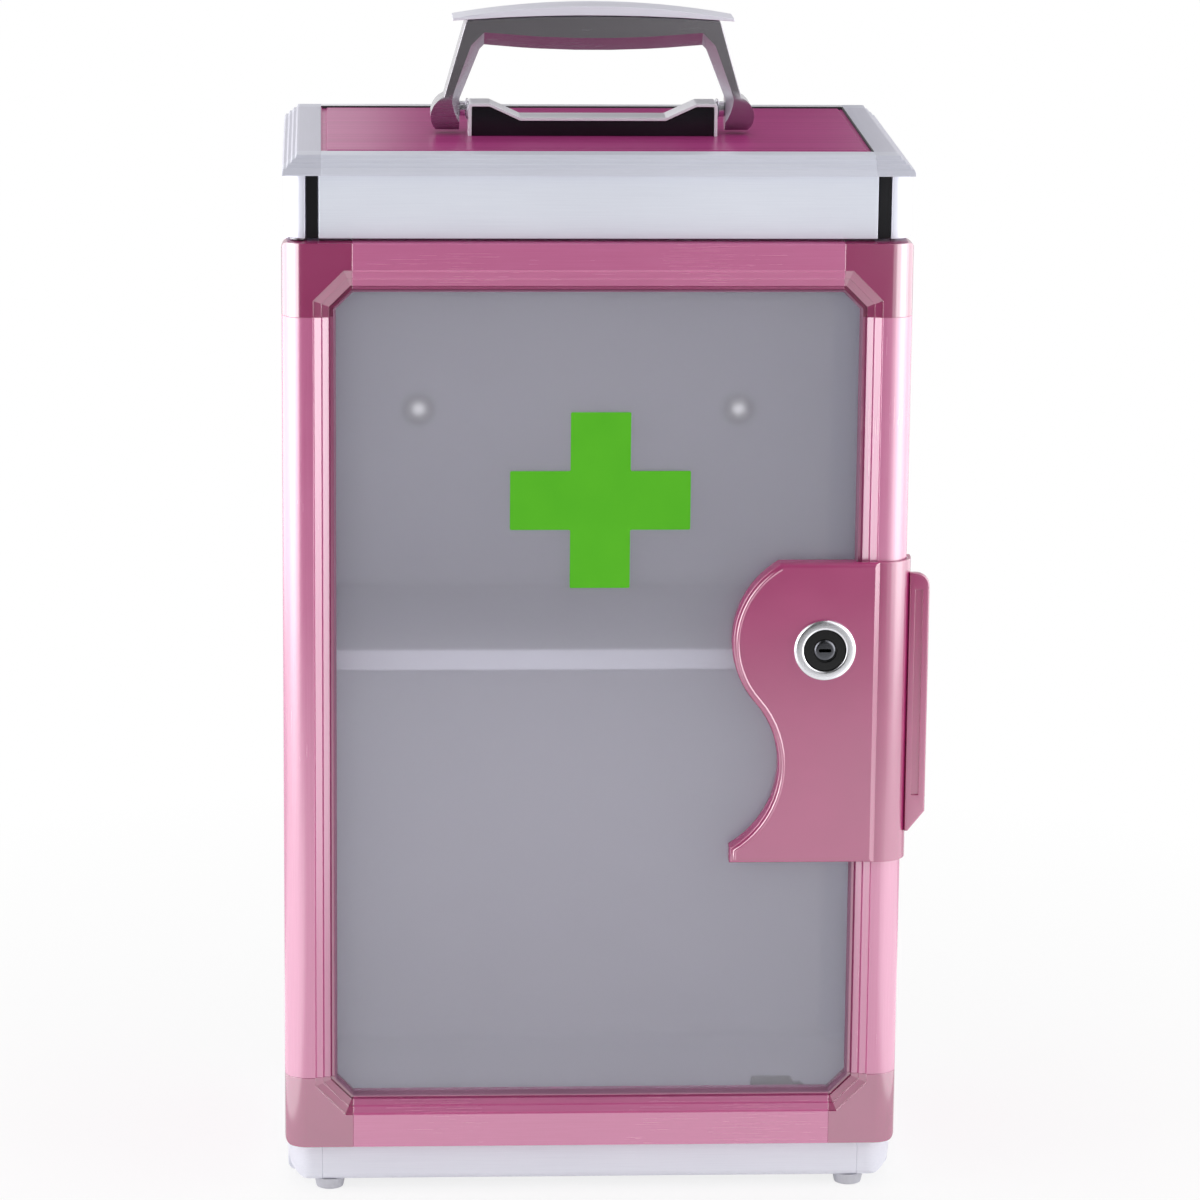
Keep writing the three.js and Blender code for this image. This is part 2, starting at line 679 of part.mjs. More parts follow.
const doorCorner = (side, up) => {
  const outerZ = up > 0 ? doorTop : doorBottom;
  const innerZ = outerZ - up * cornerReachZ;
  const innerX = halfDoor - cornerReachX;
  const round = arc(halfDoor - cornerOuterRadius, 0, cornerOuterRadius, 90, 0, 5)
    .map(([x, z]) => [x, outerZ + up * (z - cornerOuterRadius)]);
  const outline = [[innerX, outerZ], ...round, [halfDoor, innerZ], [innerX, innerZ]]
    .map(([x, z]) => [side * x, z]);
  const radius = doorDepth / 2;
  const envelope = [
    [innerX - drill, 0],
    ...arc(halfDoor - radius, radius, radius, 270, 450, 16),
    [innerX - drill, doorDepth],
  ].map(([x, y]) => [side * x, y]);
  const [low, high] = ordered(outerZ, innerZ);
  let corner = prismY(outline, 0, doorDepth).intersect(prismZ(envelope, low, high));
  corner = corner.subtract(prismY(openingCorner(side, up, 0), -drill, doorDepth + drill));
  for (const step of borderSteps) {
    corner = corner.subtract(prismY(openingCorner(side, up, step.reach), -drill, step.depth));
  }
  corner = corner.subtract(prismY(openingCorner(side, up, backRebate.reach), backRebate.depth,
    doorDepth + drill));
  corner = corner.subtract(prismY(openingCorner(side, up, paneSlot), paneFront - clearance,
    paneFront + paneThickness + clearance));
  if (side < 0) {
    const [z0, z1] = ordered(outerZ + up * drill, outerZ - up * (hingePinLength + clearance));
    corner = corner.subtract(rodAlong('z', hingePinRadius + clearance, z0, z1,
      [hingeX, hingeFromFront, 0], 24));
  }
  return corner;
};

const makeDoor = () => {
  const stileLow = doorBottom + cornerReachZ;
  const stileHigh = doorTop - cornerReachZ;
  const halfRail = halfDoor - cornerReachX;
  for (const [name, side] of sides) {
    const stile = frameSection(stileWidth, true).map(([u, v]) => [side * (halfDoor - u), v]);
    add(`door_stile_${name}`, prismZ(stile, stileLow, stileHigh), pinkMetal);
    add(`door_corner_top_${name}`, doorCorner(side, 1), pinkPlastic);
    add(`door_corner_bottom_${name}`, doorCorner(side, -1), pinkPlastic);
  }
  const topRail = frameSection(topRailWidth, false).map(([w, v]) => [v, doorTop - w]);
  const bottomRail = frameSection(bottomRailWidth, false).map(([w, v]) => [v, doorBottom + w]);
  add('door_rail_top', prismX(topRail, -halfRail, halfRail), pinkMetal);
  add('door_rail_bottom', prismX(bottomRail, -halfRail, halfRail), pinkMetal);

  const seatX = halfPane + paneSeat;
  const seatTop = paneTop + paneSeat;
  const seatBottom = paneBottom - paneSeat;
  const cut = cornerChamfer + paneSeat * (2 - Math.SQRT2);
  const pane = shapeOf([
    [-seatX + cut, seatBottom], [seatX - cut, seatBottom], [seatX, seatBottom + cut],
    [seatX, seatTop - cut], [seatX - cut, seatTop], [-seatX + cut, seatTop],
    [-seatX, seatTop - cut], [-seatX, seatBottom + cut],
  ]);
  const hole = new THREE.Path();
  hole.absarc(lockX, lockZ, barrelRadius + clearance, 0, 2 * Math.PI, true);
  pane.holes.push(hole);
  add('door_pane', prismY(pane, paneFront, paneFront + paneThickness), frosted);
};

// Steel hinge pins: each has a collar in the gap and its two ends in the frame and in the door
const makeHingePins = () => {
  const pin = (faceZ, up, collar) => {
    const reach = hingePinLength;
    const [z0, z1] = ordered(faceZ + up * reach, faceZ - up * (doorGap + reach - clearance));
    const [c0, c1] = ordered(faceZ, faceZ - up * collar);
    return rodAlong('z', hingePinRadius, z0, z1, [hingeX, hingeFromFront, 0], 24)
      .add(rodAlong('z', hingeCollarRadius, c0, c1, [hingeX, hingeFromFront, 0], 24));
  };
  add('hinge_pin_top', pin(headerBottom, 1, doorGap - clearance), steel);
  add('hinge_pin_bottom', pin(baseTop, -1, doorGap), steel);
};

// Lock plate: an S-shaped moulding that wraps round the stile and carries the finger pull
const makeLockPlate = () => {
  const lobeX = lockX + lobeFromLockX;
  const lobeZ = lockZ + plateRise - lobeRadius * Math.sin(THREE.MathUtils.degToRad(lobeTopAngle));
  const toWaist = THREE.MathUtils.degToRad(waistAngle);
  const waistX = lobeX + (lobeRadius + waistRadius) * Math.cos(toWaist);
  const waistZ = lobeZ + (lobeRadius + waistRadius) * Math.sin(toWaist);
  const tipAngle = -THREE.MathUtils.radToDeg(Math.acos((plateTipX - waistX) / waistRadius));
  const bottom = lockZ - plateDrop;
  const top = lockZ + plateRise;
  const wrapRadius = doorDepth / 2 + clearance + plateWrap;
  const roundX = halfDoor - doorDepth / 2;
  const outer = roundX + wrapRadius;
  const outline = [
    [outer + plateBevel, top],
    ...arc(lobeX, lobeZ, lobeRadius, lobeTopAngle, waistAngle, 22),
    ...arc(waistX, waistZ, waistRadius, waistAngle - 180, tipAngle, 18).slice(1),
    [plateTipX, bottom], [outer + plateBevel, bottom],
  ];
  const overPane = paneFront - clearance;
  const stepX = roundX - plateStepGap - plateStepWidth;
  const overStile = -(clearance + plateWrap);
  const envelope = [
    [plateTipX - lobeRadius, -plateProud], [stepX, -plateProud], [stepX + plateStepWidth, overStile],
    ...arc(roundX, doorDepth / 2, wrapRadius, 270, 360, 10),
    [outer, plateWrapDepth], [roundX, plateWrapDepth], [roundX, overPane],
    [plateTipX - lobeRadius, overPane],
  ];
  const hugRadius = doorDepth / 2 + clearance;
  const stileRoom = [
    [halfPane - clearance, -clearance],
    ...arc(roundX, doorDepth / 2, hugRadius, 270, 360, 10),
    [roundX + hugRadius, doorDepth], [halfPane - clearance, doorDepth],
  ];
  const moulding = prismY(outline, -plateProud, doorDepth + 2 * plateBevel, plateBevel);
  let plate = moulding.intersect(prismZ(envelope, bottom, top))
    .subtract(prismZ(stileRoom, bottom - drill, top + drill));
  const pullOuter = halfDoor + pullReach;
  const pullRoot = outer - plateWrap / 2;
  const pullHigh = lockZ + pullTop;
  const pullLow = lockZ - pullBottom;
  const slantTop = pullLow + pullSlantRise;
  const channel = block(outer + pullChannelFromWrap, pullOuter - pullRim, pullFront - drill,
    pullFront + pullChannelDepth, slantTop + pullChannelEnd, pullHigh - pullChannelEnd);
  const pull = prismY([
    [pullRoot, pullHigh], ...arc(pullOuter - pullRound, pullHigh - pullRound, pullRound, 90, 0, 6),
    [pullOuter, slantTop], [outer + pullStub, pullLow], [pullRoot, pullLow],
  ], pullFront, pullFront + pullThickness, pullBevel).subtract(channel);
  plate = plate.add(pull);
  plate = plate.subtract(rodAlong('y', barrelRadius + clearance, -plateProud - drill, doorDepth,
    [lockX, 0, lockZ], 48));
  add('lock_plate', plate, pinkPlastic);
};

// Cam lock: flanged barrel, nut behind the pane, turning plug and the cam on its square shank
const makeLock = () => {
  const face = -plateProud - barrelFlangeThickness;
  const barrelEnd = camFront - camSeat;
  const bore = plugRadius + clearance;
  const ring = [
    [bore, face + barrelMouthBevel], [bore + barrelMouthBevel, face],
    [barrelFlangeRadius - barrelRimBevel, face], [barrelFlangeRadius, face + barrelRimBevel],
    [barrelFlangeRadius, -plateProud], [barrelRadius, -plateProud],
    [barrelRadius, barrelEnd], [bore, barrelEnd], [bore, face + barrelMouthBevel],
  ];
  add('lock_barrel', turnedAlongY(ring, lockX, lockZ), chrome);

  const nutCorner = nutAcrossFlats / Math.sqrt(3);
  const hexagon = shapeOf(arc(lockX, lockZ, nutCorner, 30, 330, 5));
  const nutHole = new THREE.Path();
  nutHole.absarc(lockX, lockZ, barrelRadius + clearance, 0, 2 * Math.PI, true);
  hexagon.holes.push(nutHole);
  const nutFront = paneFront + paneThickness;
  add('lock_nut', prismY(hexagon, nutFront, nutFront + nutThickness), steel);

  const plugFace = face + plugSink;
  const camBack = camFront + camThickness;
  let plug = rodAlong('y', plugRadius, plugFace, camFront, [lockX, 0, lockZ], 40);
  const half = shankSide / 2;
  plug = plug.add(block(lockX - half, lockX + half, camFront - drill, camBack + drill, lockZ - half,
    lockZ + half));
  plug = plug.add(rodAlong('y', camScrewRadius, camBack + clearance, camBack + camScrewHeight,
    [lockX, 0, lockZ], 24));
  plug = plug.subtract(rodAlong('y', dimpleRadius, plugFace - drill, plugFace + dimpleDepth,
    [lockX, 0, lockZ], 32));
  plug = plug.subtract(block(lockX - keywayLength / 2, lockX + keywayLength / 2, plugFace - drill,
    plugFace + keywayDepth, lockZ - keywayHeight / 2, lockZ + keywayHeight / 2));
  add('lock_plug', plug, blackPlastic);

  const tipZ = lockZ - camReach + camTipRadius;
  const lean = THREE.MathUtils.radToDeg(Math.asin((camHubRadius - camTipRadius) / (lockZ - tipZ)));
  const camShape = shapeOf([
    ...arc(lockX, lockZ, camHubRadius, -lean, 180 + lean, 18),
    ...arc(lockX, tipZ, camTipRadius, 180 + lean, 360 - lean, 12),
  ]);
  const square = half + clearance;
  camShape.holes.push(new THREE.Path([
    new THREE.Vector2(lockX - square, lockZ - square), new THREE.Vector2(lockX - square, lockZ + square),
    new THREE.Vector2(lockX + square, lockZ + square), new THREE.Vector2(lockX + square, lockZ - square),
  ]));
  add('lock_cam', prismY(camShape, camFront, camBack), steel);
};

// Magnetic catch on the floor and the steel plate that it holds, on the bottom rail's back
const makeCatch = () => {
  const front = doorDepth + catchPlateThickness + catchGap;
  const left = catchCentreX - catchWidth / 2;
  const right = catchCentreX + catchWidth / 2;
  const outline = [
    [left, floorTop], [right, floorTop], [right, floorTop + catchHeight - catchCrown],
    [right - catchCrown, floorTop + catchHeight], [left + catchCrown, floorTop + catchHeight],
    [left, floorTop + catchHeight - catchCrown],
  ];
  const magnetBottom = floorTop + magnetLow;
  const magnetSlot = block(left + magnetInset, right - magnetInset, front - drill, front + magnetDepth,
    magnetBottom, magnetBottom + magnetHeight);
  add('magnet_catch', prismY(outline, front, front + catchDepth).subtract(magnetSlot), blackPlastic);
  const halfPlate = catchPlateWidth / 2;
  const low = doorBottom + catchPlateRise;
  add('catch_plate', block(catchCentreX - halfPlate, catchCentreX + halfPlate, doorDepth,
    doorDepth + catchPlateThickness, low, low + catchPlateHeight), steel);
};

// Handle bracket: a black saddle block under a bright strap whose end studs are the pivots
const saddleOutline = (grow, half, base = lidTop) => {
  const inner = bracketHalf - bracketLugFlat;
  const low = inner - bracketLugSlope;
  return [
    [-half, base], [-half, lidTop + bracketLug + grow], [-inner, lidTop + bracketLug + grow],
    [-low, lidTop + bracketMid + grow], [low, lidTop + bracketMid + grow],
    [inner, lidTop + bracketLug + grow], [half, lidTop + bracketLug + grow], [half, base],
  ];
};

const makeBracket = () => {
  const y0 = handleY - bracketDepth / 2;
  const y1 = handleY + bracketDepth / 2;
  const core = saddleOutline(0, bracketHalf);
  add('handle_bracket', prismY(core, y0, y1), blackPlastic);
  const outer = saddleOutline(strapThickness + clearance, bracketHalf + strapThickness + clearance);
  const inner = saddleOutline(clearance, bracketHalf + clearance, lidTop - drill);
  let strap = prismY(outer, y0 - strapOverhang, y1 + strapOverhang)
    .subtract(prismY(inner, y0 - strapOverhang - drill, y1 + strapOverhang + drill));
  const root = bracketHalf + clearance;
  for (const [, side] of sides) {
    const [x0, x1] = spanX(side, root, root + strapThickness + pivotLength);
    strap = strap.add(rodAlong('x', pivotRadius, x0, x1, [0, handleY, pivotZ], 24));
  }
  add('bracket_strap', strap, chrome);
};

// Handle: a bowed grip on two splayed legs, with a lens-shaped cap along its crown
const bow = (half, endZ, rise, steps) => {
  const points = [];
  for (let i = 0; i <= steps; i += 1) {
    const x = -half + 2 * half * i / steps;
    points.push([x, endZ + rise * (1 - (x / half) ** 2)]);
  }
  return points;
};

const makeHandle = () => {
  const top = lidTop + gripTopRise;
  const under = lidTop + gripBottomRise;
  const footLow = pivotZ - handleDepth / 2;
  const shoulderZ = top - gripTopSag;
  const shoulderX = handleShoulderHalf + gripShoulderRun / 2;
  const crownX = handleShoulderHalf - gripShoulderRun / 2;
  const beltX = handleInnerTop - gripInnerRun / 2;
  const innerBreak = pivotZ + legBreakRise;
  const boss = arc(handleFootHalf - footBossRadius, pivotZ - footBossDrop, footBossRadius,
    footBossTop, footBossEnd, 8).filter(([, z]) => z > footLow);
  const footHalf = boss[boss.length - 1][0];
  const innerShoulder = under + gripBottomBelly;
  const outline = [
    [-footHalf, footLow],
    ...boss.map(([x, z]) => [-x, z]).reverse(),
    [-shoulderX, shoulderZ - gripShoulderDrop],
    ...bow(crownX, shoulderZ, gripTopSag, 14),
    [shoulderX, shoulderZ - gripShoulderDrop],
    ...boss,
    [footHalf, footLow],
  ];
  const half = handleDepth / 2;
  const flank = [
    ...arc(0, 0, 1, 180, 360, 16).map(([y, z]) => [handleY + half * y, footLow + footRound * (1 + z)]),
    [handleY + half, top + drill], [handleY - half, top + drill],
  ];
  const opening = (growX, growZ) => {
    const right = [
      [handleInnerFoot + growX, footLow - drill], [handleInnerFoot + growX, innerBreak],
      [handleInnerTop + gripInnerRun / 2 + growX, innerShoulder + growZ - gripInnerDrop - growX],
    ];
    const left = right.map(([x, z]) => [-x, z]).reverse();
    return [...right, ...bow(beltX, innerShoulder + growZ, -gripBottomBelly, 12).reverse(), ...left];
  };
  const wide = opening(legChamfer, gripChamfer);
  const narrow = opening(0, 0);
  const y0 = handleY - half;
  const y1 = handleY + half;
  const hand = loftY([
    [wide, y0 - drill], [wide, y0], [narrow, y0 + gripChamferDepth],
    [narrow, y1 - gripChamferDepth], [wide, y1], [wide, y1 + drill],
  ]);
  let frame = prismY(outline, y0, y1, gripEdge)
    .intersect(prismX(flank, -handleFootHalf - drill, handleFootHalf + drill))
    .subtract(hand);
  for (const [, side] of sides) {
    const depth = bracketHalf + clearance + strapThickness + pivotLength + clearance;
    const [x0, x1] = spanX(side, handleInnerFoot - drill, depth);
    frame = frame.subtract(rodAlong('x', pivotRadius + pivotGap, x0, x1, [0, handleY, pivotZ], 24));
  }
  add('handle_frame', frame, chrome);

  const capEndZ = shoulderZ + clearance - capDroop;
  const crownRise = gripTopSag + capDroop + capRise - capEndThickness;
  const capOutline = [
    ...bow(capHalf, capEndZ, gripTopSag + capDroop, 16),
    ...bow(capHalf, capEndZ + capEndThickness, crownRise, 16).reverse(),
  ];
  const cap = prismY(capOutline, handleY - half - capOverhang, handleY + half + capOverhang);
  add('handle_cap', cap, silver);
};

makePosts();
makePanels();
makeHeader();
makeLid();
makeBase();
makeShelf();
makeDoor();
makeHingePins();
makeLockPlate();
makeLock();
makeCatch();
makeBracket();
makeHandle();

// The origin is under the middle of the whole box, on the surface it stands on
const wholeLeft = -halfDoor;
const wholeRight = halfDoor + pullReach;
const wholeFront = -plateProud - barrelFlangeThickness;
model.position.set(-(wholeLeft + wholeRight) / 2, -(wholeFront + lidRear) / 2, 0);

export default model;
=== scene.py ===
# Lockable medicine cabinet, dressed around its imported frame.
# Lengths are millimetres from the middle of the door's front face: x right, y back, z up from the floor.
# Lamps, screens and the camera are placed in metres, and noise is counted in waves per metre.
import math

import bmesh
import bpy
from mathutils import Matrix, Vector


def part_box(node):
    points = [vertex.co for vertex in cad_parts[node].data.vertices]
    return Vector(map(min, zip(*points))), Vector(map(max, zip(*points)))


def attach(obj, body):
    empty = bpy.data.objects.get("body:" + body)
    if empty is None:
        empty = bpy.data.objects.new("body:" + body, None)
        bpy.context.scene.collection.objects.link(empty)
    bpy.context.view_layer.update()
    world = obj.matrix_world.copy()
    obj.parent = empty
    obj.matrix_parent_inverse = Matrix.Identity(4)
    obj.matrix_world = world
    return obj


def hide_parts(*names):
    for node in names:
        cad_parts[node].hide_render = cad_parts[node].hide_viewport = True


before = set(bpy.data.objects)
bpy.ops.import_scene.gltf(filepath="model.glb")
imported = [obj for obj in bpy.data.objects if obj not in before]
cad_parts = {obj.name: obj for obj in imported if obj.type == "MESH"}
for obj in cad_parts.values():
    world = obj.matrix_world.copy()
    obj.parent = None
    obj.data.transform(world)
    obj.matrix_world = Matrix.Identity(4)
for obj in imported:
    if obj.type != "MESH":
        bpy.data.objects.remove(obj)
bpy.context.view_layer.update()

mm = 0.001
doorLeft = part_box("door_stile_left")[0]
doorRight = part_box("door_stile_right")[1]
doorMid = (doorLeft.x + doorRight.x) / 2
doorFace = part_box("door_rail_top")[0].y
print("frame loaded:", len(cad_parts), "nodes")


def spot(x, y, z):  # a place in these lengths, as a point of the scene
    return Vector((doorMid + x * mm, doorFace + y * mm, z * mm))


def measured(corners):  # the two corners of a node's box, in these lengths
    return [((c.x - doorMid) / mm, (c.y - doorFace) / mm, c.z / mm) for c in corners]


def colour(red, green, blue):  # 0 to 255 as seen on a screen, to the linear values that a shader takes
    def linear(value):
        value /= 255
        return value / 12.92 if value <= 0.04045 else ((value + 0.055) / 1.055) ** 2.4
    return (linear(red), linear(green), linear(blue), 1.0)


# shader wiring

class Wire:  # a node's output that can stand in a sum
    def __init__(self, board, socket):
        self.board = board
        self.socket = socket

    def math(self, operation, first, second=0.0):
        return self.board.node("ShaderNodeMath", {"operation": operation}, [first, second])

    def __add__(self, other):
        return self.math("ADD", self, other)

    def __radd__(self, other):
        return self.math("ADD", other, self)

    def __sub__(self, other):
        return self.math("SUBTRACT", self, other)

    def __rsub__(self, other):
        return self.math("SUBTRACT", other, self)

    def __mul__(self, other):
        return self.math("MULTIPLY", self, other)

    def __rmul__(self, other):
        return self.math("MULTIPLY", other, self)

    def __gt__(self, other):
        return self.math("GREATER_THAN", self, other)

    def __abs__(self):
        return self.math("ABSOLUTE", self)

    def atLeast(self, other):
        return self.math("MAXIMUM", self, other)

    def atMost(self, other):
        return self.math("MINIMUM", self, other)


class Board:  # the nodes of one material or of the world
    def __init__(self, tree):
        self.tree = tree

    def node(self, kind, settings, inputs, output=0):
        made = self.tree.nodes.new(kind)
        for key, value in settings.items():
            if key == "stops":
                self.setStops(made.color_ramp, value)
            else:
                setattr(made, key, value)
        for key, value in (inputs.items() if isinstance(inputs, dict) else enumerate(inputs)):
            self.feed(made.inputs[key], value)
        return Wire(self, made.outputs[output]) if made.outputs else None

    def setStops(self, ramp, stops):
        while len(ramp.elements) < len(stops):
            ramp.elements.new(1.0)
        for element, (position, shade) in zip(ramp.elements, stops):
            element.position = position
            element.color = (shade, shade, shade, 1.0)

    def feed(self, socket, value):
        if isinstance(value, Wire):
            self.tree.links.new(value.socket, socket)
        else:
            socket.default_value = value


class Finish(Board):  # one material and its shader
    def __init__(self, name, fixed):
        self.material = bpy.data.materials.new(name)
        self.material.use_nodes = True
        super().__init__(self.material.node_tree)
        self.shader = self.tree.nodes["Principled BSDF"]
        for socket, value in fixed.items():
            self.shader.inputs[socket].default_value = value
        self.place = self.node("ShaderNodeTexCoord", {}, {}, "Object")

    def drive(self, **wires):  # Base_Color=..., Roughness=...
        for name, value in wires.items():
            self.feed(self.shader.inputs[name.replace("_", " ")], value)

    def noise(self, stretch, detail=2.0, roughness=0.5):  # stretch is waves per metre along x, y and z
        scaled = self.node("ShaderNodeVectorMath", {"operation": "MULTIPLY"}, [self.place, stretch])
        return self.node("ShaderNodeTexNoise", {}, {
            "Vector": scaled, "Scale": 1.0, "Detail": detail, "Roughness": roughness}, "Fac")

    def ramp(self, value, stops):
        return self.node("ShaderNodeValToRGB", {"stops": stops}, [value])

    def blend(self, factor, first, second):
        return self.node("ShaderNodeMix", {"data_type": "RGBA"}, {0: factor, 6: first, 7: second}, 2)

    def axis(self, name):
        return self.node("ShaderNodeSeparateXYZ", {}, [self.place], name)

    def bump(self, height, depth=1.0):  # in metres: a height itself, or a mask and its depth
        return self.node("ShaderNodeBump", {}, {"Height": height, "Distance": depth, "Strength": 1.0},
                         "Normal")


# opening for the pane: its half width, edges and cut corners, and the lean of the steps round it
opening = {"half": 92.0, "low": 37.4, "high": 329.9, "cut": 6.5, "from": 1.5, "to": 7.0, "lean": 0.45}


def borderRelief(finish):  # the steps round the pane lean towards it: height in metres over the door's face
    low, high = opening["low"] * mm, opening["high"] * mm
    fromMiddle = abs(finish.axis("X") - doorMid)
    fromCentre = abs(finish.axis("Z") - (low + high) / 2)
    across, along = fromMiddle - opening["half"] * mm, fromCentre - (high - low) / 2
    corner = (across + along + opening["cut"] * mm) * math.sqrt(0.5)
    reach = across.atLeast(along).atLeast(corner)
    return reach.atLeast(opening["from"] * mm).atMost(opening["to"] * mm) * opening["lean"]


def setRelief(finish, height, look):  # fine relief, and the lean of the steps where a look takes part
    if "borderShare" in look:
        height = height + borderRelief(finish) * look["borderShare"]
    finish.drive(Normal=finish.bump(height))


def lineStretch(look, along):  # long waves along the lines and short ones across them
    stretch = [look["lineCount"]] * 3
    stretch["xyz".index(along)] = look["lineCount"] / look["lineLength"]
    return stretch


def mixed(finish, shade, look):
    return finish.blend(shade, colour(*look["dark"]), colour(*look["light"]))


metalStreaks = {"detail": 3.0, "fineness": 0.6, "lineShare": 0.65, "stops": [(0.32, 0.0), (0.68, 1.0)]}


def streakedMetal(name, look, along, shaderValues):
    # drawn or brushed metal: fine lines along one axis, and faint cloudy wear over them
    m = metalStreaks
    finish = Finish(name, shaderValues)
    lines = finish.noise(lineStretch(look, along), m["detail"], m["fineness"])
    cloud = finish.noise([look["cloudCount"]] * 3, m["detail"])
    shade = finish.ramp(lines * m["lineShare"] + cloud * (1 - m["lineShare"]), m["stops"])
    finish.drive(
        Base_Color=mixed(finish, shade, look),
        Roughness=look["roughness"] + (cloud - 0.5) * look["roughnessSpread"]
        + (lines - 0.5) * look["roughnessSpread"])
    setRelief(finish, lines * (look["lineDepth"] * mm), look)
    return finish


plasticFlow = {"detail": 3.0, "grainDetail": 2.0, "stops": [(0.3, 0.0), (0.7, 1.0)]}


def grainedPlastic(name, look, shaderValues):
    # moulded plastic: a fine even grain, faint flow marks and slight polish where hands go
    finish = Finish(name, shaderValues)
    grain = finish.noise([look["grainCount"]] * 3, plasticFlow["grainDetail"])
    flow = finish.noise([look["flowCount"]] * 3, plasticFlow["detail"])
    finish.drive(
        Base_Color=mixed(finish, finish.ramp(flow, plasticFlow["stops"]), look),
        Roughness=look["roughness"] + (flow - 0.5) * look["roughnessSpread"])
    setRelief(finish, grain * (look["grainDepth"] * mm), look)
    return finish


framePink = {
    "dark": (200, 91, 146), "light": (206, 98, 153), "roughness": 0.26, "roughnessSpread": 0.06,
    "lineCount": 2600, "lineLength": 60, "lineDepth": 0.0012, "cloudCount": 22, "borderShare": 1.0,
}
pinkAlongZ = streakedMetal("anodisedPinkStile", framePink, "z", {"Metallic": 0.0, "IOR": 2.85})
pinkAlongX = streakedMetal("anodisedPinkRail", framePink, "x", {"Metallic": 0.0, "IOR": 2.7})
topRailPink = dict(framePink, borderShare=0.12)
pinkTopRail = streakedMetal("anodisedPinkTopRail", topRailPink, "x", {"Metallic": 0.0, "IOR": 2.7})

mouldingPink = {
    "dark": (168, 44, 107), "light": (176, 50, 114), "roughness": 0.19, "roughnessSpread": 0.06,
    "grainCount": 2400, "grainDepth": 0.003, "flowCount": 30,
}
pinkMoulding = grainedPlastic("mouldedPink", mouldingPink, {"Metallic": 0.0, "IOR": 2.5})
cornerPink = dict(mouldingPink, dark=(158, 44, 100), light=(166, 50, 107), roughness=0.17,
                  borderShare=0.4)
cornerMoulding = grainedPlastic("cornerPink", cornerPink, {"Metallic": 0.0, "IOR": 2.9})

silverTrim = {
    "dark": (206, 207, 220), "light": (216, 217, 230), "roughness": 0.4, "roughnessSpread": 0.08,
    "lineCount": 2400, "lineLength": 70, "lineDepth": 0.003, "cloudCount": 20,
}
silverAlongY = streakedMetal("satinSilverY", silverTrim, "y", {"Metallic": 0.3, "IOR": 1.8})
silverAlongZ = streakedMetal("satinSilverZ", silverTrim, "z", {"Metallic": 0.3, "IOR": 1.8})

lidSilver = dict(silverTrim, dark=(210, 212, 225), light=(217, 219, 231))
# darker copy of the lid silver for the left and right rims: painted shade on their tops
lidSideShadedSilver = dict(silverTrim, dark=(190, 189, 203), light=(198, 197, 211))
lidCapSilver = dict(silverTrim, dark=(198, 199, 212), light=(206, 207, 219))
lidAlongX = streakedMetal("lidSilverX", lidSilver, "x", {"Metallic": 0.2, "IOR": 1.6})
lidShadedAlongY = streakedMetal("lidShadedSilverY", lidSideShadedSilver, "y", {"Metallic": 0.2, "IOR": 1.6})
lidCapFinish = streakedMetal("lidCapSilver", lidCapSilver, "x", {"Metallic": 0.2, "IOR": 1.6})

# lighter copy of the silver for the base rims and corners: painted light over the shade round the base
baseLitSilver = dict(silverTrim, dark=(224, 225, 236), light=(231, 232, 242))
baseLitAlongX = streakedMetal("baseLitSilverX", baseLitSilver, "x", {"Metallic": 0.2, "IOR": 1.8})
baseLitAlongY = streakedMetal("baseLitSilverY", baseLitSilver, "y", {"Metallic": 0.2, "IOR": 1.8})

silverSheet = dict(silverTrim, dark=(220, 224, 235), light=(226, 230, 240), roughness=0.45)
silverPanel = streakedMetal("silverSheet", silverSheet, "x", {"Metallic": 0.15, "IOR": 1.6})

capSilver = dict(silverTrim, dark=(224, 223, 234), light=(231, 230, 241), roughness=0.42)
handleSilver = streakedMetal("handleSilver", capSilver, "x", {"Metallic": 0.3, "IOR": 1.6})

# near-white copy of the silver for the strap, the shelf's front edge and the lid's rear rim: painted
# highlight
highlightSilver = dict(silverTrim, dark=(234, 234, 241), light=(241, 241, 247), roughness=0.35)
highlightBrightSilver = streakedMetal("highlightSilver", highlightSilver, "x", {"Metallic": 0.3, "IOR": 1.8})

linerLook = dict(silverTrim, dark=(222, 222, 230), light=(229, 229, 236), roughness=0.5, lineCount=1800)
greyLiner = streakedMetal("greyLiner", linerLook, "x", {"Metallic": 0.1})

steelLook = dict(silverTrim, dark=(140, 142, 146), light=(178, 180, 184), roughness=0.32, lineCount=3200)
steel = streakedMetal("turnedSteel", steelLook, "y", {"Metallic": 1.0})
darkSteelLook = dict(steelLook, dark=(84, 85, 90), light=(104, 105, 110), roughness=0.22)
darkSteel = streakedMetal("darkSteel", darkSteelLook, "y", {"Metallic": 1.0})

handleLook = dict(silverTrim, dark=(174, 171, 177), light=(178, 175, 181), roughness=0.27,
                  roughnessSpread=0.02, lineDepth=0.00003, lineCount=900)
handleChrome = streakedMetal("satinChrome", handleLook, "x", {"Metallic": 0.9})
chromeLook = dict(silverTrim, dark=(226, 226, 231), light=(236, 236, 241), roughness=0.26,
                  roughnessSpread=0.06, lineDepth=0.0003)
chrome = streakedMetal("chrome", chromeLook, "x", {"Metallic": 1.0})

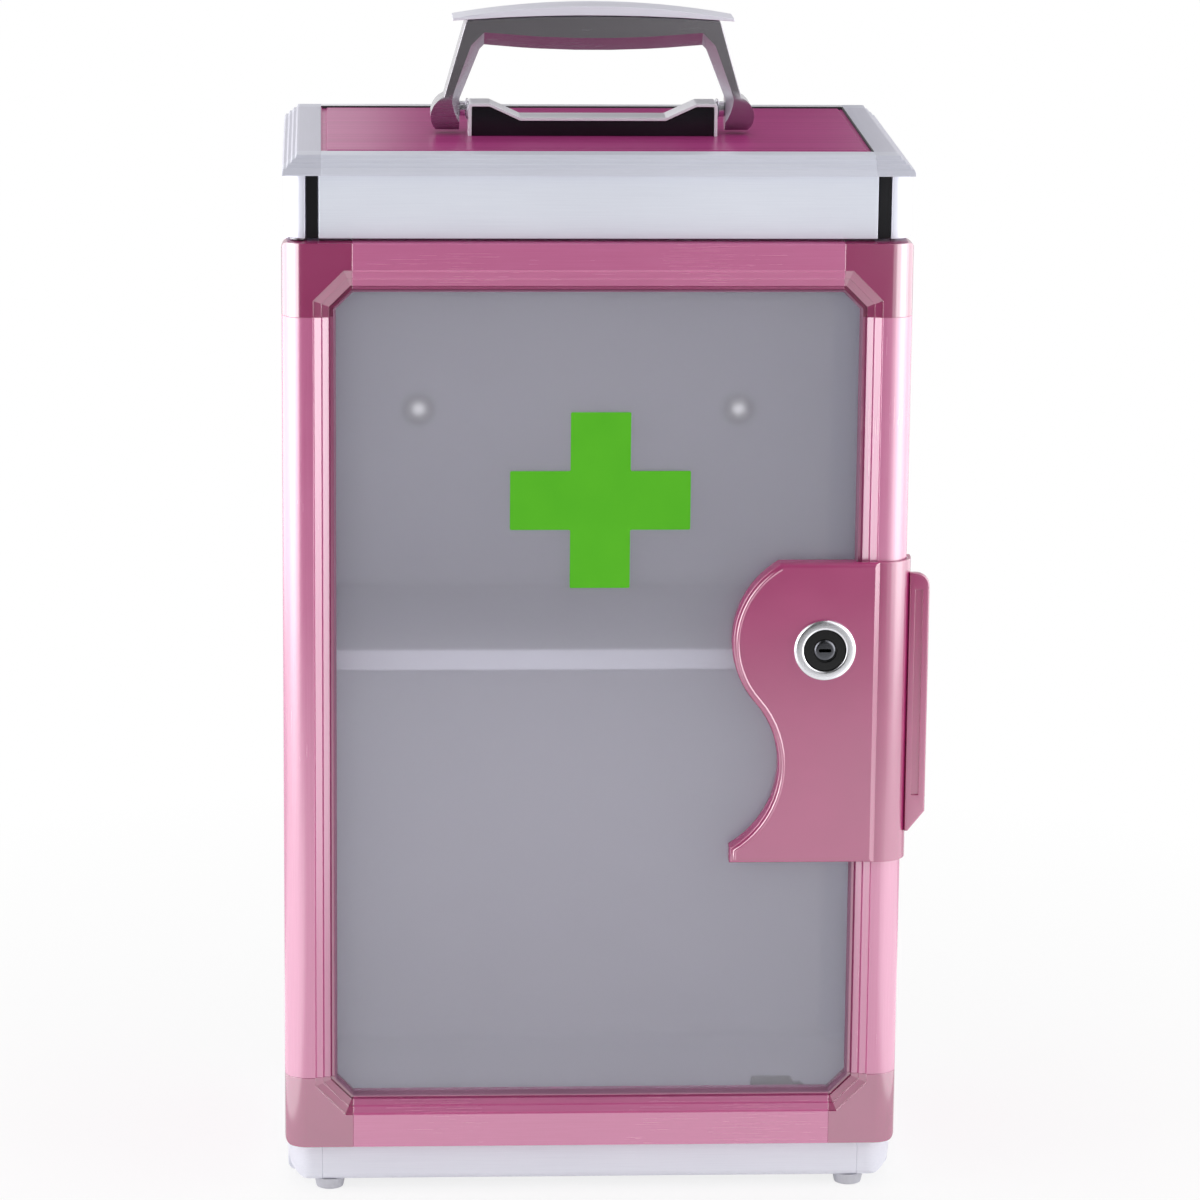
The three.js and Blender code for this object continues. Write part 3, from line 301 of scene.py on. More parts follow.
blackLook = {
    "dark": (18, 18, 20), "light": (32, 32, 35), "roughness": 0.35, "roughnessSpread": 0.15,
    "grainCount": 1800, "grainDepth": 0.006, "flowCount": 24,
}
blackPlastic = grainedPlastic("blackPlastic", blackLook, {"Metallic": 0.0})
trimBlack = grainedPlastic("trimBlack", blackLook, {"Metallic": 0.0, "Specular IOR Level": 0.2})
plugLook = dict(blackLook, dark=(10, 10, 12), light=(16, 16, 18), roughness=0.2, grainDepth=0.001)
plugBlack = grainedPlastic("plugBlack", plugLook, {"Metallic": 0.0})
glossBlackLook = dict(blackLook, dark=(12, 13, 18), light=(18, 19, 25), roughness=0.22, grainDepth=0.002)
glossBlack = grainedPlastic("glossBlack", glossBlackLook, {"Metallic": 0.0})

# dusky pink of the strip round the pane: painted shade of the lip's inner wall
paintedShadeStripLook = dict(blackLook, dark=(132, 90, 114), light=(142, 98, 123), roughness=0.5)
paintedShadeStrip = grainedPlastic("paintedShadeStrip", paintedShadeStripLook, {"Metallic": 0.0, "Specular IOR Level": 0.2})

# near-black of the lid's rear and right joint strips: painted shade of the rim's shaded wall
rubberFootAndJointShadeLook = dict(blackLook, dark=(38, 38, 41), light=(56, 56, 60), roughness=0.75, grainDepth=0.02)
rubber = grainedPlastic("rubber", rubberFootAndJointShadeLook, {"Metallic": 0.0})
footLook = dict(rubberFootAndJointShadeLook, dark=(196, 196, 204), light=(208, 208, 215))
footGrey = grainedPlastic("footGrey", footLook, {"Metallic": 0.0})

eyeletLook = dict(blackLook, dark=(150, 150, 154), light=(162, 162, 166), roughness=0.5)
eyeletGrey = grainedPlastic("eyeletGrey", eyeletLook, {"Metallic": 0.1})

greenPrint = {
    "dark": (78, 180, 0), "light": (83, 185, 3), "roughness": 0.5, "roughnessSpread": 0.1,
    "grainCount": 1500, "grainDepth": 0.003, "flowCount": 60,
}
crossGreen = grainedPlastic("greenPrint", greenPrint, {"Metallic": 0.0, "Specular IOR Level": 0.3})

panelLook = {
    "dark": (168, 54, 122), "light": (190, 74, 144), "backDark": (222, 222, 230),
    "backLight": (229, 229, 236), "roughness": 0.3, "roughnessSpread": 0.12,
    "lineCount": 1500, "lineLength": 110, "lineDepth": 0.002, "detail": 4.0, "fineness": 0.7,
    "lineShare": 0.45, "bandShare": 0.16, "bandDetail": 2.0, "stops": [(0.36, 0.0), (0.64, 1.0)],
}


def laminate(name, look, along, outside, shaderValues):
    # panel with a pink brushed face outside and a plain grey face inside
    finish = Finish(name, shaderValues)
    stretch = lineStretch(look, along)
    lines = finish.noise(stretch, look["detail"], look["fineness"])
    wide = finish.noise([v * look["bandShare"] for v in stretch], look["bandDetail"])
    shade = finish.ramp(lines * look["lineShare"] + wide * (1 - look["lineShare"]), look["stops"])
    grey = finish.blend(shade, colour(*look["backDark"]), colour(*look["backLight"]))
    finish.drive(
        Base_Color=finish.blend(outside(finish), grey, mixed(finish, shade, look)),
        Roughness=look["roughness"] + (lines - 0.5) * look["roughnessSpread"],
        Normal=finish.bump(lines, look["lineDepth"] * mm))
    return finish


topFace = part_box("top_panel")[1].z - 1.0 * mm  # what lies over this is the lid's outer face
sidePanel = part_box("side_panel_right")
sideFace = (sidePanel[0].x + sidePanel[1].x) / 2 - doorMid  # what lies beyond this is the outer face
laminateTop = laminate("laminateTop", panelLook, "x", lambda f: f.axis("Z") > topFace,
                       {"Metallic": 0.1, "Specular IOR Level": 0.25})
laminateSide = laminate("laminateSide", panelLook, "z", lambda f: abs(f.axis("X") - doorMid) > sideFace,
                        {"Metallic": 0.3})

paneLook = {
    "tint": (238, 237, 244), "cloudy": (233, 232, 240), "roughness": 0.12, "roughnessSpread": 0.05,
    "cloudCount": 9, "cloudDetail": 3.0, "frostCount": 1600, "frostDetail": 2.0, "frostDepth": 0.0015,
    "transmission": 0.86, "bending": 1.49,
}


def makePaneFinish():
    look = paneLook
    finish = Finish("frostedPane", {
        "Transmission Weight": look["transmission"], "IOR": look["bending"], "Metallic": 0.0})
    cloud = finish.noise([look["cloudCount"]] * 3, look["cloudDetail"])
    frost = finish.noise([look["frostCount"]] * 3, look["frostDetail"])
    finish.drive(
        Base_Color=finish.blend(cloud, colour(*look["tint"]), colour(*look["cloudy"])),
        Roughness=look["roughness"] + (frost - 0.5) * look["roughnessSpread"],
        Normal=finish.bump(frost, look["frostDepth"] * mm))
    return finish


frostedPane = makePaneFinish()
print("finishes made")

# mesh helpers: outlines are lists of (u, v), and the axis says which way they are swept

straight = math.radians(176)  # a corner flatter than this isn't rounded
sideShare = 0.45  # of its shorter side is the most that a rounded corner takes
mitreShare = 0.5  # keeps a sharp corner from moving more than twice the inset
nearly = 1e-9


def filleted(points, radii, steps=4):  # each corner rounded by its own radius
    rounded = []
    for i, corner in enumerate(points):
        here = Vector(corner)
        before = Vector(points[i - 1]) - here
        after = Vector(points[(i + 1) % len(points)]) - here
        radius = radii[i] if isinstance(radii, list) else radii
        turn = before.angle(after, math.pi)
        if radius <= 0 or turn > straight:
            rounded.append((here.x, here.y))
            continue
        reach = radius / math.tan(turn / 2)
        limit = sideShare * min(before.length, after.length)
        if reach > limit:
            reach = limit
            radius = reach * math.tan(turn / 2)
        start = here + before.normalized() * reach
        end = here + after.normalized() * reach
        inwards = (before.normalized() + after.normalized()).normalized()
        centre = here + inwards * (radius / math.sin(turn / 2))
        first, last = start - centre, end - centre
        for k in range(steps + 1):
            point = centre + first.lerp(last, k / steps).normalized() * radius
            rounded.append((point.x, point.y))
    return rounded


def signedArea(points):
    return sum(a[0] * b[1] - b[0] * a[1] for a, b in zip(points, points[1:] + points[:1])) / 2


def inset(points, distance):  # the outline moved inwards
    side = 1 if signedArea(points) > 0 else -1
    moved = []
    for i, corner in enumerate(points):
        here = Vector(corner)
        before = here - Vector(points[i - 1])
        after = Vector(points[(i + 1) % len(points)]) - here
        if before.length < nearly:
            before = after
        if after.length < nearly:
            after = before
        before.normalize()
        after.normalize()
        inwardA = Vector((-before.y, before.x)) * side
        inwardB = Vector((-after.y, after.x)) * side
        middle = inwardA + inwardB
        if middle.length < 1e-6:
            middle = inwardA
        middle.normalize()
        moved.append(tuple(here + middle * distance / max(middle.dot(inwardA), mitreShare)))
    return moved


def placed(axis, u, v, w):  # u, v lie in the outline's plane and w runs along the axis
    if axis == "y":
        return spot(u, w, v)
    if axis == "x":
        return spot(w, u, v)
    return spot(u, v, w)


def linked(name, mesh, finish):
    piece = bpy.data.objects.new(name, mesh)
    bpy.context.scene.collection.objects.link(piece)
    mesh.materials.append(finish.material)
    return piece


def meshPiece(name, rings, finish, looped=False):  # rings joined in a row, and capped or joined end to end
    build = bmesh.new()
    rows = [[build.verts.new(point) for point in ring] for ring in rings]
    pairs = list(zip(rows, rows[1:])) + ([(rows[-1], rows[0])] if looped else [])
    for near, far in pairs:
        count = len(near)
        for i in range(count):
            build.faces.new((near[i], near[(i + 1) % count], far[(i + 1) % count], far[i]))
    if not looped:
        build.faces.new(rows[0])
        build.faces.new(rows[-1])
    bmesh.ops.remove_doubles(build, verts=build.verts, dist=1e-7)
    bmesh.ops.recalc_face_normals(build, faces=build.faces)
    mesh = bpy.data.meshes.new(name)
    build.to_mesh(mesh)
    build.free()
    return linked(name, mesh, finish)


def smoothed(piece, angle=38):
    mesh = piece.data
    mesh.polygons.foreach_set("use_smooth", [True] * len(mesh.polygons))
    mesh.set_sharp_from_angle(angle=math.radians(angle))
    weighted = piece.modifiers.new("evenNormals", "WEIGHTED_NORMAL")
    weighted.keep_sharp = True
    return piece


def ride(piece, body, replaced=()):
    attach(piece, body)
    if replaced:
        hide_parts(*replaced)
    return piece


def edgeProfile(radius, steps):  # (depth from the face, inset of the outline) round one edge
    if radius <= 0:
        return [(0.0, 0.0)]
    return [(radius * (1 - math.sin(a)), radius * (1 - math.cos(a)))
            for a in (math.pi / 2 * (1 - k / steps) for k in range(steps + 1))]


def slab(name, outline, start, end, finish, axis="y", roundStart=0.3, roundEnd=0.3, steps=4):
    rings = [(start + depth, way) for depth, way in edgeProfile(roundStart, steps)]
    rings += [(end - depth, way) for depth, way in reversed(edgeProfile(roundEnd, steps))]
    rows = []
    for w, way in rings:
        ring = inset(outline, way) if way else outline
        rows.append([placed(axis, u, v, w) for u, v in ring])
    return meshPiece(name, rows, finish)


def turned(name, profile, centre, finish, axis="y", sides=48, looped=False):
    # profile is (radius, along the axis), turned round the axis through centre
    rows = []
    for radius, w in profile:
        ring = []
        for k in range(sides):
            angle = 2 * math.pi * k / sides
            ring.append(placed(axis, centre[0] + radius * math.cos(angle),
                               centre[1] + radius * math.sin(angle), w))
        rows.append(ring)
    return meshPiece(name, rows, finish, looped=looped)


def cutAway(piece, cutter):  # takes a closed solid out of a piece, and removes the solid
    step = piece.modifiers.new("step", "BOOLEAN")
    step.operation = "DIFFERENCE"
    step.solver = "EXACT"
    step.object = cutter
    bpy.context.view_layer.update()
    graph = bpy.context.evaluated_depsgraph_get()
    mesh = bpy.data.meshes.new_from_object(piece.evaluated_get(graph))
    piece.modifiers.clear()
    piece.data = mesh
    bpy.data.objects.remove(cutter)


# frame nodes that stay: eased edges and a finish each, by the longest start of a name that fits

easedEdge = {
    "": 0.3, "lid_": 0.16, "door_": 0.2, "bracket_strap": 0.2, "catch_plate": 0.2, "lock_plate": 0.9,
}
edgeWork = {"weld": 1e-6, "flat": 1, "sharp": 28, "segments": 3, "weight": 80}

nodeFinish = {
    "door_stile": pinkAlongZ, "door_rail": pinkAlongX, "door_rail_top": pinkTopRail,
    "door_corner": cornerMoulding, "door_pane": frostedPane, "lock_plate": pinkMoulding,
    "side_panel": laminateSide, "top_panel": laminateTop, "rear_panel": greyLiner,
    "floor_panel": greyLiner, "shelf_board": greyLiner, "shelf_edge": highlightBrightSilver,
    "shelf_rail": silverAlongY, "post_": silverAlongZ, "header_corner": silverAlongZ,
    "header_trim": trimBlack, "header_panel": silverPanel, "lid_rim_front": lidAlongX,
    "lid_rim_rear": highlightBrightSilver, "lid_rim_left": lidShadedAlongY, "lid_rim_right": lidShadedAlongY,
    "lid_cap": lidCapFinish, "base_rim_front": baseLitAlongX, "base_rim_rear": baseLitAlongX,
    "base_rim_left": baseLitAlongY, "base_rim_right": baseLitAlongY, "base_corner": baseLitAlongX,
    "foot": footGrey, "hinge_pin": steel, "catch_plate": steel, "magnet_catch": blackPlastic,
    "lock_nut": steel, "lock_cam": steel, "lock_barrel": chrome, "lock_plug": plugBlack,
    "handle_bracket": blackPlastic, "bracket_strap": highlightBrightSilver, "handle_frame": handleChrome,
    "handle_cap": handleSilver,
}


def entryFor(name, table):
    return table[max((start for start in table if name.startswith(start)), key=len)]


def easeEdges(node, width):
    mesh = node.data
    if mesh.attributes.get("custom_normal"):
        mesh.attributes.remove(mesh.attributes["custom_normal"])
    mesh.polygons.foreach_set("use_smooth", [True] * len(mesh.polygons))
    weld = node.modifiers.new("weld", "WELD")
    weld.merge_threshold = edgeWork["weld"]
    flat = node.modifiers.new("flatFaces", "DECIMATE")
    flat.decimate_type = "DISSOLVE"
    flat.angle_limit = math.radians(edgeWork["flat"])
    edge = node.modifiers.new("easedEdge", "BEVEL")
    edge.width = width * mm
    edge.segments = edgeWork["segments"]
    edge.limit_method = "ANGLE"
    edge.angle_limit = math.radians(edgeWork["sharp"])
    even = node.modifiers.new("evenNormals", "WEIGHTED_NORMAL")
    even.weight = edgeWork["weight"]
    even.keep_sharp = True


for nodeName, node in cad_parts.items():
    node.data.materials.clear()
    node.data.materials.append(entryFor(nodeName, nodeFinish).material)
    easeEdges(node, entryFor(nodeName, easedEdge))
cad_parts["door_pane"].visible_shadow = False  # daylight reaches the shelf through the frosted pane
print("frame nodes dressed")

# pink sheet in the lid, with a lowered edge, and strips in its joint: near-black at the rear and right as
# painted shade of the rim's shaded wall, else pink

topSheet = {
    "gap": 0.06, "thick": 2.0, "drop": 0.6, "edge": 1.4, "slope": 0.6, "slopeBreak": 0.4,
    "joint": 0.28, "rearLap": 0.25, "rightLap": 0.2, "pinkLap": 0.05, "apart": 0.01,
    "rearOver": 0.4, "rightOver": 0.28, "pinkOver": -0.05, "round": 0.08,
}


def rectangle(x0, x1, y0, y1):
    return [(x0, y0), (x1, y0), (x1, y1), (x0, y1)]


def makeTopSheet():
    s = topSheet
    (x0, y0, _), (x1, y1, top) = measured(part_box("top_panel"))
    gap, edge, drop = s["gap"], s["edge"], s["drop"]
    outline = rectangle(x0 + gap, x1 - gap, y0 + gap, y1 - gap)
    levels = [(0, -s["thick"]), (0, -drop), (edge, -drop),
              (edge + s["slope"] * s["slopeBreak"], -drop / 2), (edge + s["slope"], 0.0)]
    rows = [[spot(u, v, top + z) for u, v in inset(outline, way)] for way, z in levels]
    piece = meshPiece("top_sheet", rows, laminateTop)
    ride(smoothed(piece, 30), "cabinet", ["top_panel"])
    joint, pink, apart = s["joint"], s["pinkLap"], s["apart"]
    rearStart, rightStart = y1 - s["rearLap"], x1 - s["rightLap"]
    sides = {  # plan of each strip
        "rear": (x0 - joint, x1 + joint, rearStart, y1 + joint),
        "right": (rightStart, x1 + joint, y0 - joint, rearStart - apart),
        "front": (x0 - joint, rightStart - 2 * apart, y0 - joint, y0 + pink),
        "left": (x0 - joint, x0 + pink, y0 + pink + apart, rearStart - apart),
    }
    for word, plan in sides.items():
        # the rear and right strips are near-black as painted shade, the others pink
        dark = word in ("rear", "right")
        over = s[word + "Over"] if dark else s["pinkOver"]
        finish, slotName = (rubber, "rubber") if dark else (laminateTop, "pink_panel")
        strip = slab(f"panel_joint_strip_{word}", rectangle(*plan), top - s["thick"], top + over, finish,
                     axis="z", roundStart=0.0, roundEnd=s["round"], steps=2)
        ride(smoothed(strip, 40), "cabinet")


makeTopSheet()

# printed cross on the pane

cross = {
    "x": 1.3, "z": 254.8, "halfWide": 31.7, "halfTall": 31.5, "arm": 10.55, "film": 0.12,
    "corner": 0.5, "edge": 0.05,
}
paneFace = measured(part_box("door_pane"))[0][1]


def makeCross():
    a, w, h = cross["arm"], cross["halfWide"], cross["halfTall"]
    outline = [(-a, -h), (a, -h), (a, -a), (w, -a), (w, a), (a, a), (a, h), (-a, h), (-a, a), (-w, a),
               (-w, -a), (-a, -a)]
    outline = filleted([(cross["x"] + u, cross["z"] + v) for u, v in outline], cross["corner"], 3)
    piece = slab("pane_cross", outline, paneFace - cross["film"], paneFace, crossGreen,
                 roundStart=cross["edge"], roundEnd=0.0, steps=2)
    ride(smoothed(piece), "door")


makeCross()

# eyelets round the two hanging holes

eyelet = {"x": 60, "z": 261.6, "hole": 4.0, "bore": 2.4, "outer": 5.8, "proud": 0.9}


def makeEyelets():
    (_, front, _), (_, back, _) = measured(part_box("rear_panel"))
    bore, outer, proud = eyelet["bore"], eyelet["outer"], eyelet["proud"]
    profile = [
        (bore, back + proud * 0.6), (bore, front - proud * 0.5), (bore + 0.4, front - proud),
        (outer - 0.7, front - proud), (outer, front - proud * 0.35), (outer, front),
        (eyelet["hole"], front), (eyelet["hole"], back), (outer, back),
        (outer, back + proud * 0.3), (outer - 0.6, back + proud * 0.6),
    ]
    for side, word in ((-1, "left"), (1, "right")):
        centre = (side * eyelet["x"], eyelet["z"])
        piece = turned(f"eyelet_{word}", profile, centre, eyeletGrey, looped=True)
        ride(smoothed(piece), "cabinet")


makeEyelets()

# lock barrel: a thin flange with round edges on a tube

lock = {
    "x": 80.6, "z": 202.3, "face": -4.6, "seat": -3.0, "bore": 7.5, "shank": 9.4, "flange": 11.0,
    # out from the bore or in from the rim, and back from the face
    "boreRound": [(0.0, 0.5), (0.12, 0.2), (0.4, 0.03), (0.8, 0.0)],
    "rimRound": [(1.3, 0.0), (0.7, 0.12), (0.25, 0.4), (0.0, 0.9)],
}


def makeLock():
    k = lock
    barrelBack = measured(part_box("lock_barrel"))[1][1]
    ring = [(k["bore"] + out, k["face"] + back) for out, back in k["boreRound"]]
    ring += [(k["flange"] - within, k["face"] + back) for within, back in k["rimRound"]]
    ring += [(k["flange"], k["seat"]), (k["shank"], k["seat"]), (k["shank"], barrelBack),
             (k["bore"], barrelBack)]
    piece = turned("lock_ring", ring, (k["x"], k["z"]), chrome, sides=72, looped=True)
    ride(smoothed(piece, 35), "door", ["lock_barrel"])


makeLock()

keyway = {
    "radius": 3.9, "seat": -3.38, "rise": 0.8, "rim": 0.25, "waist": 2.9, "roundSteps": 6,
    "flatIn": 0.5, "flatRise": 0.02, "crownRise": 0.05, "centre": 0.0001,
    "slotLong": 4.4, "slotTall": 1.25, "slotCorner": 0.4,
}


def makeKeyway():  # bright disc with the key's slot, seated in the plug's dimple
    k = keyway
    seat, crown = k["seat"], k["seat"] - k["rise"]
    profile = [(k["centre"], seat), (k["radius"], seat), (k["radius"], seat - k["rim"])]
    for step in range(1, k["roundSteps"] + 1):
        share = step / k["roundSteps"]
        profile.append((k["radius"] - (k["radius"] - k["waist"]) * share,
                        seat - k["rim"] - (k["rise"] - k["rim"]) * math.sin(share * math.pi / 2)))
    profile += [(k["waist"] - k["flatIn"], crown - k["flatRise"]), (k["centre"], crown - k["crownRise"])]
    x, z = lock["x"], lock["z"]
    disc = turned("keyway_disc", profile, (x, z), darkSteel)
    half, tall = k["slotLong"] / 2, k["slotTall"] / 2
    mouth = filleted(rectangle(x - half, x + half, z - tall, z + tall), k["slotCorner"], 3)
    cutAway(disc, slab("slot", mouth, crown - 2, seat + 1, steel, roundStart=0, roundEnd=0))
    ride(smoothed(disc, 30), "lock_core")


makeKeyway()

# dark strip between the pane and the lip of its frame: painted shade of the lip's shaded inner wall

paneShadeStripSize = {
    "lap": 0.04, "thick": 0.55, "front": 0.4, "crown": 0.12, "rise": 0.3, "foot": 0.3, "footTall": 0.35,
}


def makePaneShadeStrip():
    o, s = opening, paneShadeStripSize
    half, low, high, cut = o["half"] + s["lap"], o["low"] - s["lap"], o["high"] + s["lap"], o["cut"]
    outline = [(cut - half, low), (half - cut, low), (half, low + cut), (half, high - cut),
               (half - cut, high), (cut - half, high), (-half, high - cut), (-half, low + cut)]
    thick, front, crown, foot = s["thick"], s["front"], s["crown"], s["thick"] + s["foot"]
    levels = [(0, paneFace), (0, front), (thick * 0.3, front - crown), (thick * 0.75, front),
              (thick, front + s["rise"]), (thick, paneFace - s["footTall"]),
              (foot, paneFace - crown), (foot, paneFace)]
    rows = [[spot(u, y, v) for u, v in inset(outline, way)] for way, y in levels]
    ride(smoothed(meshPiece("pane_shade_strip", rows, paintedShadeStrip, looped=True), 40), "door")


makePaneShadeStrip()

# raised rim along the curved edge of the lock plate

plateRim = {
    "width": 1.2, "rise": 0.34, "in": -0.3, "endX": 84.0, "fade": 3, "fadeStart": 0.4,
    "steps": 8, "fullness": 0.8, "sink": 0.45, "root": (0.9, 0.1), "flatWithin": 0.03,
}


def rimPath():  # the curved edge of the plate's face, from the top to the tip
    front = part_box("lock_plate")[0].y
    points = {}
    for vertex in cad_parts["lock_plate"].data.vertices:
        x, z = (vertex.co.x - doorMid) / mm, vertex.co.z / mm
        if abs(vertex.co.y - front) < plateRim["flatWithin"] * mm and x < plateRim["endX"]:
            if math.hypot(x - lock["x"], z - lock["z"]) > lock["flange"]:
                points[round(z, 2)] = (x, z)
    return [points[z] for z in sorted(points, reverse=True)]


def makePlateRim():
    r = plateRim
    path = rimPath()
    face = measured(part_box("lock_plate"))[0][1]
    shares = [step / r["steps"] for step in range(r["steps"] + 1)]
    rows = []
    for i, (x, z) in enumerate(path):
        ahead, behind = path[min(i + 1, len(path) - 1)], path[max(i - 1, 0)]
        along = Vector((ahead[0] - behind[0], ahead[1] - behind[1])).normalized()
        rise = r["rise"] * min(1.0, (i + r["fadeStart"]) / r["fade"])
        section = [(share, -rise * math.sin(math.pi * share) ** r["fullness"]) for share in shares]
        section += [(share, r["sink"]) for share in r["root"]]
        ring = []
        for share, back in section:
            reach = r["in"] + r["width"] * share
            ring.append(spot(x - along.y * reach, face + back, z + along.x * reach))
        rows.append(ring)
    ride(smoothed(meshPiece("plate_rim", rows, pinkMoulding), 50), "door")


makePlateRim()

# handle bracket: black saddle under a bright strap that is bent over it

bracket = {
    "half": 42.9, "lugFlat": 6.3, "slope": 10.8, "mid": 5.4, "lug": 10.4, "front": 4.2, "edge": 0.4,
    "gap": 0.1, "strap": 1.1, "overhang": 0.6, "strapEdge": 0.18,
    "corners": [0, 0.4, 0.8, 0.8, 0.8, 0.8, 0.4, 0],  # radii along the saddle, left to right
    "strapOuter": [0, 1.0, 2.0, 1.2, 1.2, 2.0, 1.0, 0],
    "strapInner": [0, 0.4, 0.9, 2.0, 2.0, 0.9, 0.4, 0],
}
strapInside = bracket["half"] + bracket["gap"]
strapOutside = strapInside + bracket["strap"]


def saddle(half, grow, base):
    b = bracket
    inner = b["half"] - b["lugFlat"]
    low = inner - b["slope"]
    lug, mid = base + b["lug"] + grow, base + b["mid"] + grow
    return [(-half, base), (-half, lug), (-inner, lug), (-low, mid), (low, mid), (inner, lug),
            (half, lug), (half, base)]


def makeBracket():
    b = bracket
    (_, y0, base), (_, y1, _) = measured(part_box("handle_bracket"))
    y0 -= b["front"]
    block = slab("bracket_block", filleted(saddle(b["half"], 0, base), b["corners"], 3), y0, y1,
                 glossBlack, roundStart=b["edge"], roundEnd=b["edge"], steps=3)
    ride(smoothed(block, 35), "cabinet", ["handle_bracket"])
    outer = filleted(saddle(strapOutside, b["gap"] + b["strap"], base), b["strapOuter"])
    inner = filleted(saddle(strapInside, b["gap"], base), b["strapInner"])
    strap = slab("strap_band", outer + inner[::-1], y0 - b["overhang"], y1 + b["overhang"],
                 highlightBrightSilver, roundStart=b["strapEdge"], roundEnd=b["strapEdge"], steps=2)
    ride(smoothed(strap, 32), "cabinet", ["bracket_strap"])


makeBracket()

# washer, collar and pin between the strap and each foot of the handle

pivot = {
    "rise": 8.6, "foot": 47.2,  # height over the lid, and the inner side of a foot
    "washer": 3.7, "collar": 2.7, "pin": 2.0, "sink": 0.2, "centre": 0.01,
    "washerFrom": 0.15, "washerTo": 0.55, "washerThick": 0.8, "washerEdge": 0.25, "neck": 0.2,
    "collarEdge": 0.25, "collarGap": 0.15, "pinEdge": 0.3,
}


def makePivots():
    p = pivot
    (_, y0, base), (_, y1, _) = measured(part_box("handle_bracket"))
    pinEnd = measured(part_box("bracket_strap"))[1][0]
    start, washerEnd = strapOutside - p["sink"], strapOutside + p["washerThick"]
    collarEnd = p["foot"] - p["collarGap"]
    profile = [
        (p["centre"], start), (p["washer"] - p["sink"], start),
        (p["washer"], strapOutside + p["washerFrom"]), (p["washer"], strapOutside + p["washerTo"]),
        (p["washer"] - p["washerEdge"], washerEnd), (p["collar"] + p["neck"], washerEnd),
        (p["collar"], washerEnd + p["neck"]), (p["collar"], collarEnd - p["neck"]),
        (p["collar"] - p["collarEdge"], collarEnd), (p["pin"], collarEnd),
        (p["pin"], pinEnd - p["pinEdge"]), (p["pin"] - p["pinEdge"], pinEnd), (p["centre"], pinEnd),
    ]
    for side, word in ((-1, "left"), (1, "right")):
        piece = turned(f"pivot_pin_{word}", [(radius, side * w) for radius, w in profile],
                       ((y0 + y1) / 2, p["rise"] + base), chrome, axis="x", sides=36)
        ride(smoothed(piece, 35), "cabinet")


makePivots()

# cap of the magnetic catch, seen dimly over the bottom rail

catchCap = {
    "left": -10.6, "right": 4.6, "rise": 2.8, "front": 0.3, "deep": 12.0, "sink": 0.1, "round": 1.6,
    "edge": 0.6,
}


def makeCatchCap():
    c = catchCap
    (x0, y0, _), (x1, _, seat) = measured(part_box("magnet_catch"))
    middle, front = (x0 + x1) / 2, y0 + c["front"]
    outline = rectangle(middle + c["left"], middle + c["right"], seat - c["sink"], seat + c["rise"])
    outline = filleted(outline, [0, 0, c["round"], c["round"]], 5)
    piece = slab("catch_cap", outline, front, front + c["deep"], blackPlastic, roundStart=c["edge"],
                 roundEnd=c["edge"])
    ride(smoothed(piece, 40), "cabinet")


makeCatchCap()

# turned feet, pale grey, each with a recess for its screw

foot = {
    "radius": 5.5, "height": 4.0, "taper": 0.9,
    "recess": [(0.9, 1.6), (2.2, 1.5), (2.3, 0.3), (2.6, 0.0)],  # radius, and height over the floor
    "sole": [(0.7, 0.0), (0.2, 0.2), (0.0, 0.7)],  # in from the sole's edge, and height over the floor
    "topEdge": 0.2, "topDrop": 0.4,
}


def makeFeet():
    r, top, screw = foot["radius"], foot["height"], foot["recess"][0][0]
    profile = foot["recess"] + [(r * foot["taper"] - within, z) for within, z in foot["sole"]]
    profile += [(r, top - foot["topDrop"]), (r - foot["topEdge"], top), (screw, top)]
    for end in ("front", "rear"):
        for word in ("left", "right"):
            (x0, y0, _), (x1, y1, _) = measured(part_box(f"foot_{end}_{word}"))
            piece = turned(f"rubber_foot_{end}_{word}", profile, ((x0 + x1) / 2, (y0 + y1) / 2), footGrey,
                           axis="z", sides=40)
            ride(smoothed(piece, 40), "cabinet", [f"foot_{end}_{word}"])


makeFeet()
print("pieces made")

# floor, screens, world, lamps and camera

studio = {
    "floorHalf": 8.0, "floorShade": 0.95, "floorRoughness": 0.9,
    "glowNear": 0.8, "nearReach": 0.2, "farReach": 0.5, "worldFill": 0.68,
}


def rayMask(board):  # 1 for what the camera, metal and glass see
    rays = [board.node("ShaderNodeLightPath", {}, {}, word)
            for word in ("Is Camera Ray", "Is Glossy Ray", "Is Transmission Ray")]
    return (rays[0] + rays[1] + rays[2]).atMost(1.0)


def makeFloor():  # white away from the object, and lit near it, where its shadow falls
    half, shade = studio["floorHalf"], studio["floorShade"]
    finish = Finish("floorWhite", {"Base Color": (shade, shade, shade, 1),
                                   "Roughness": studio["floorRoughness"], "Specular IOR Level": 0.0})
    glow = finish.node("ShaderNodeEmission", {}, {"Color": (1, 1, 1, 1), "Strength": 1.0})
    away = finish.node("ShaderNodeVectorMath", {"operation": "LENGTH"}, [finish.place], "Value")
    share = finish.ramp(away, [(studio["nearReach"], studio["glowNear"]), (studio["farReach"], 1.0)])
    surface = finish.node("ShaderNodeMixShader", {}, [
        rayMask(finish) * share, Wire(finish, finish.shader.outputs[0]), glow])
    finish.feed(finish.tree.nodes["Material Output"].inputs["Surface"], surface)
    mesh = bpy.data.meshes.new("floor")
    corners = [(x, y, 0) for x, y in rectangle(-half, half, -half, half)]
    mesh.from_pydata(corners, [], [(0, 1, 2, 3)])
    floor = linked("floor", mesh, finish)


makeFloor()

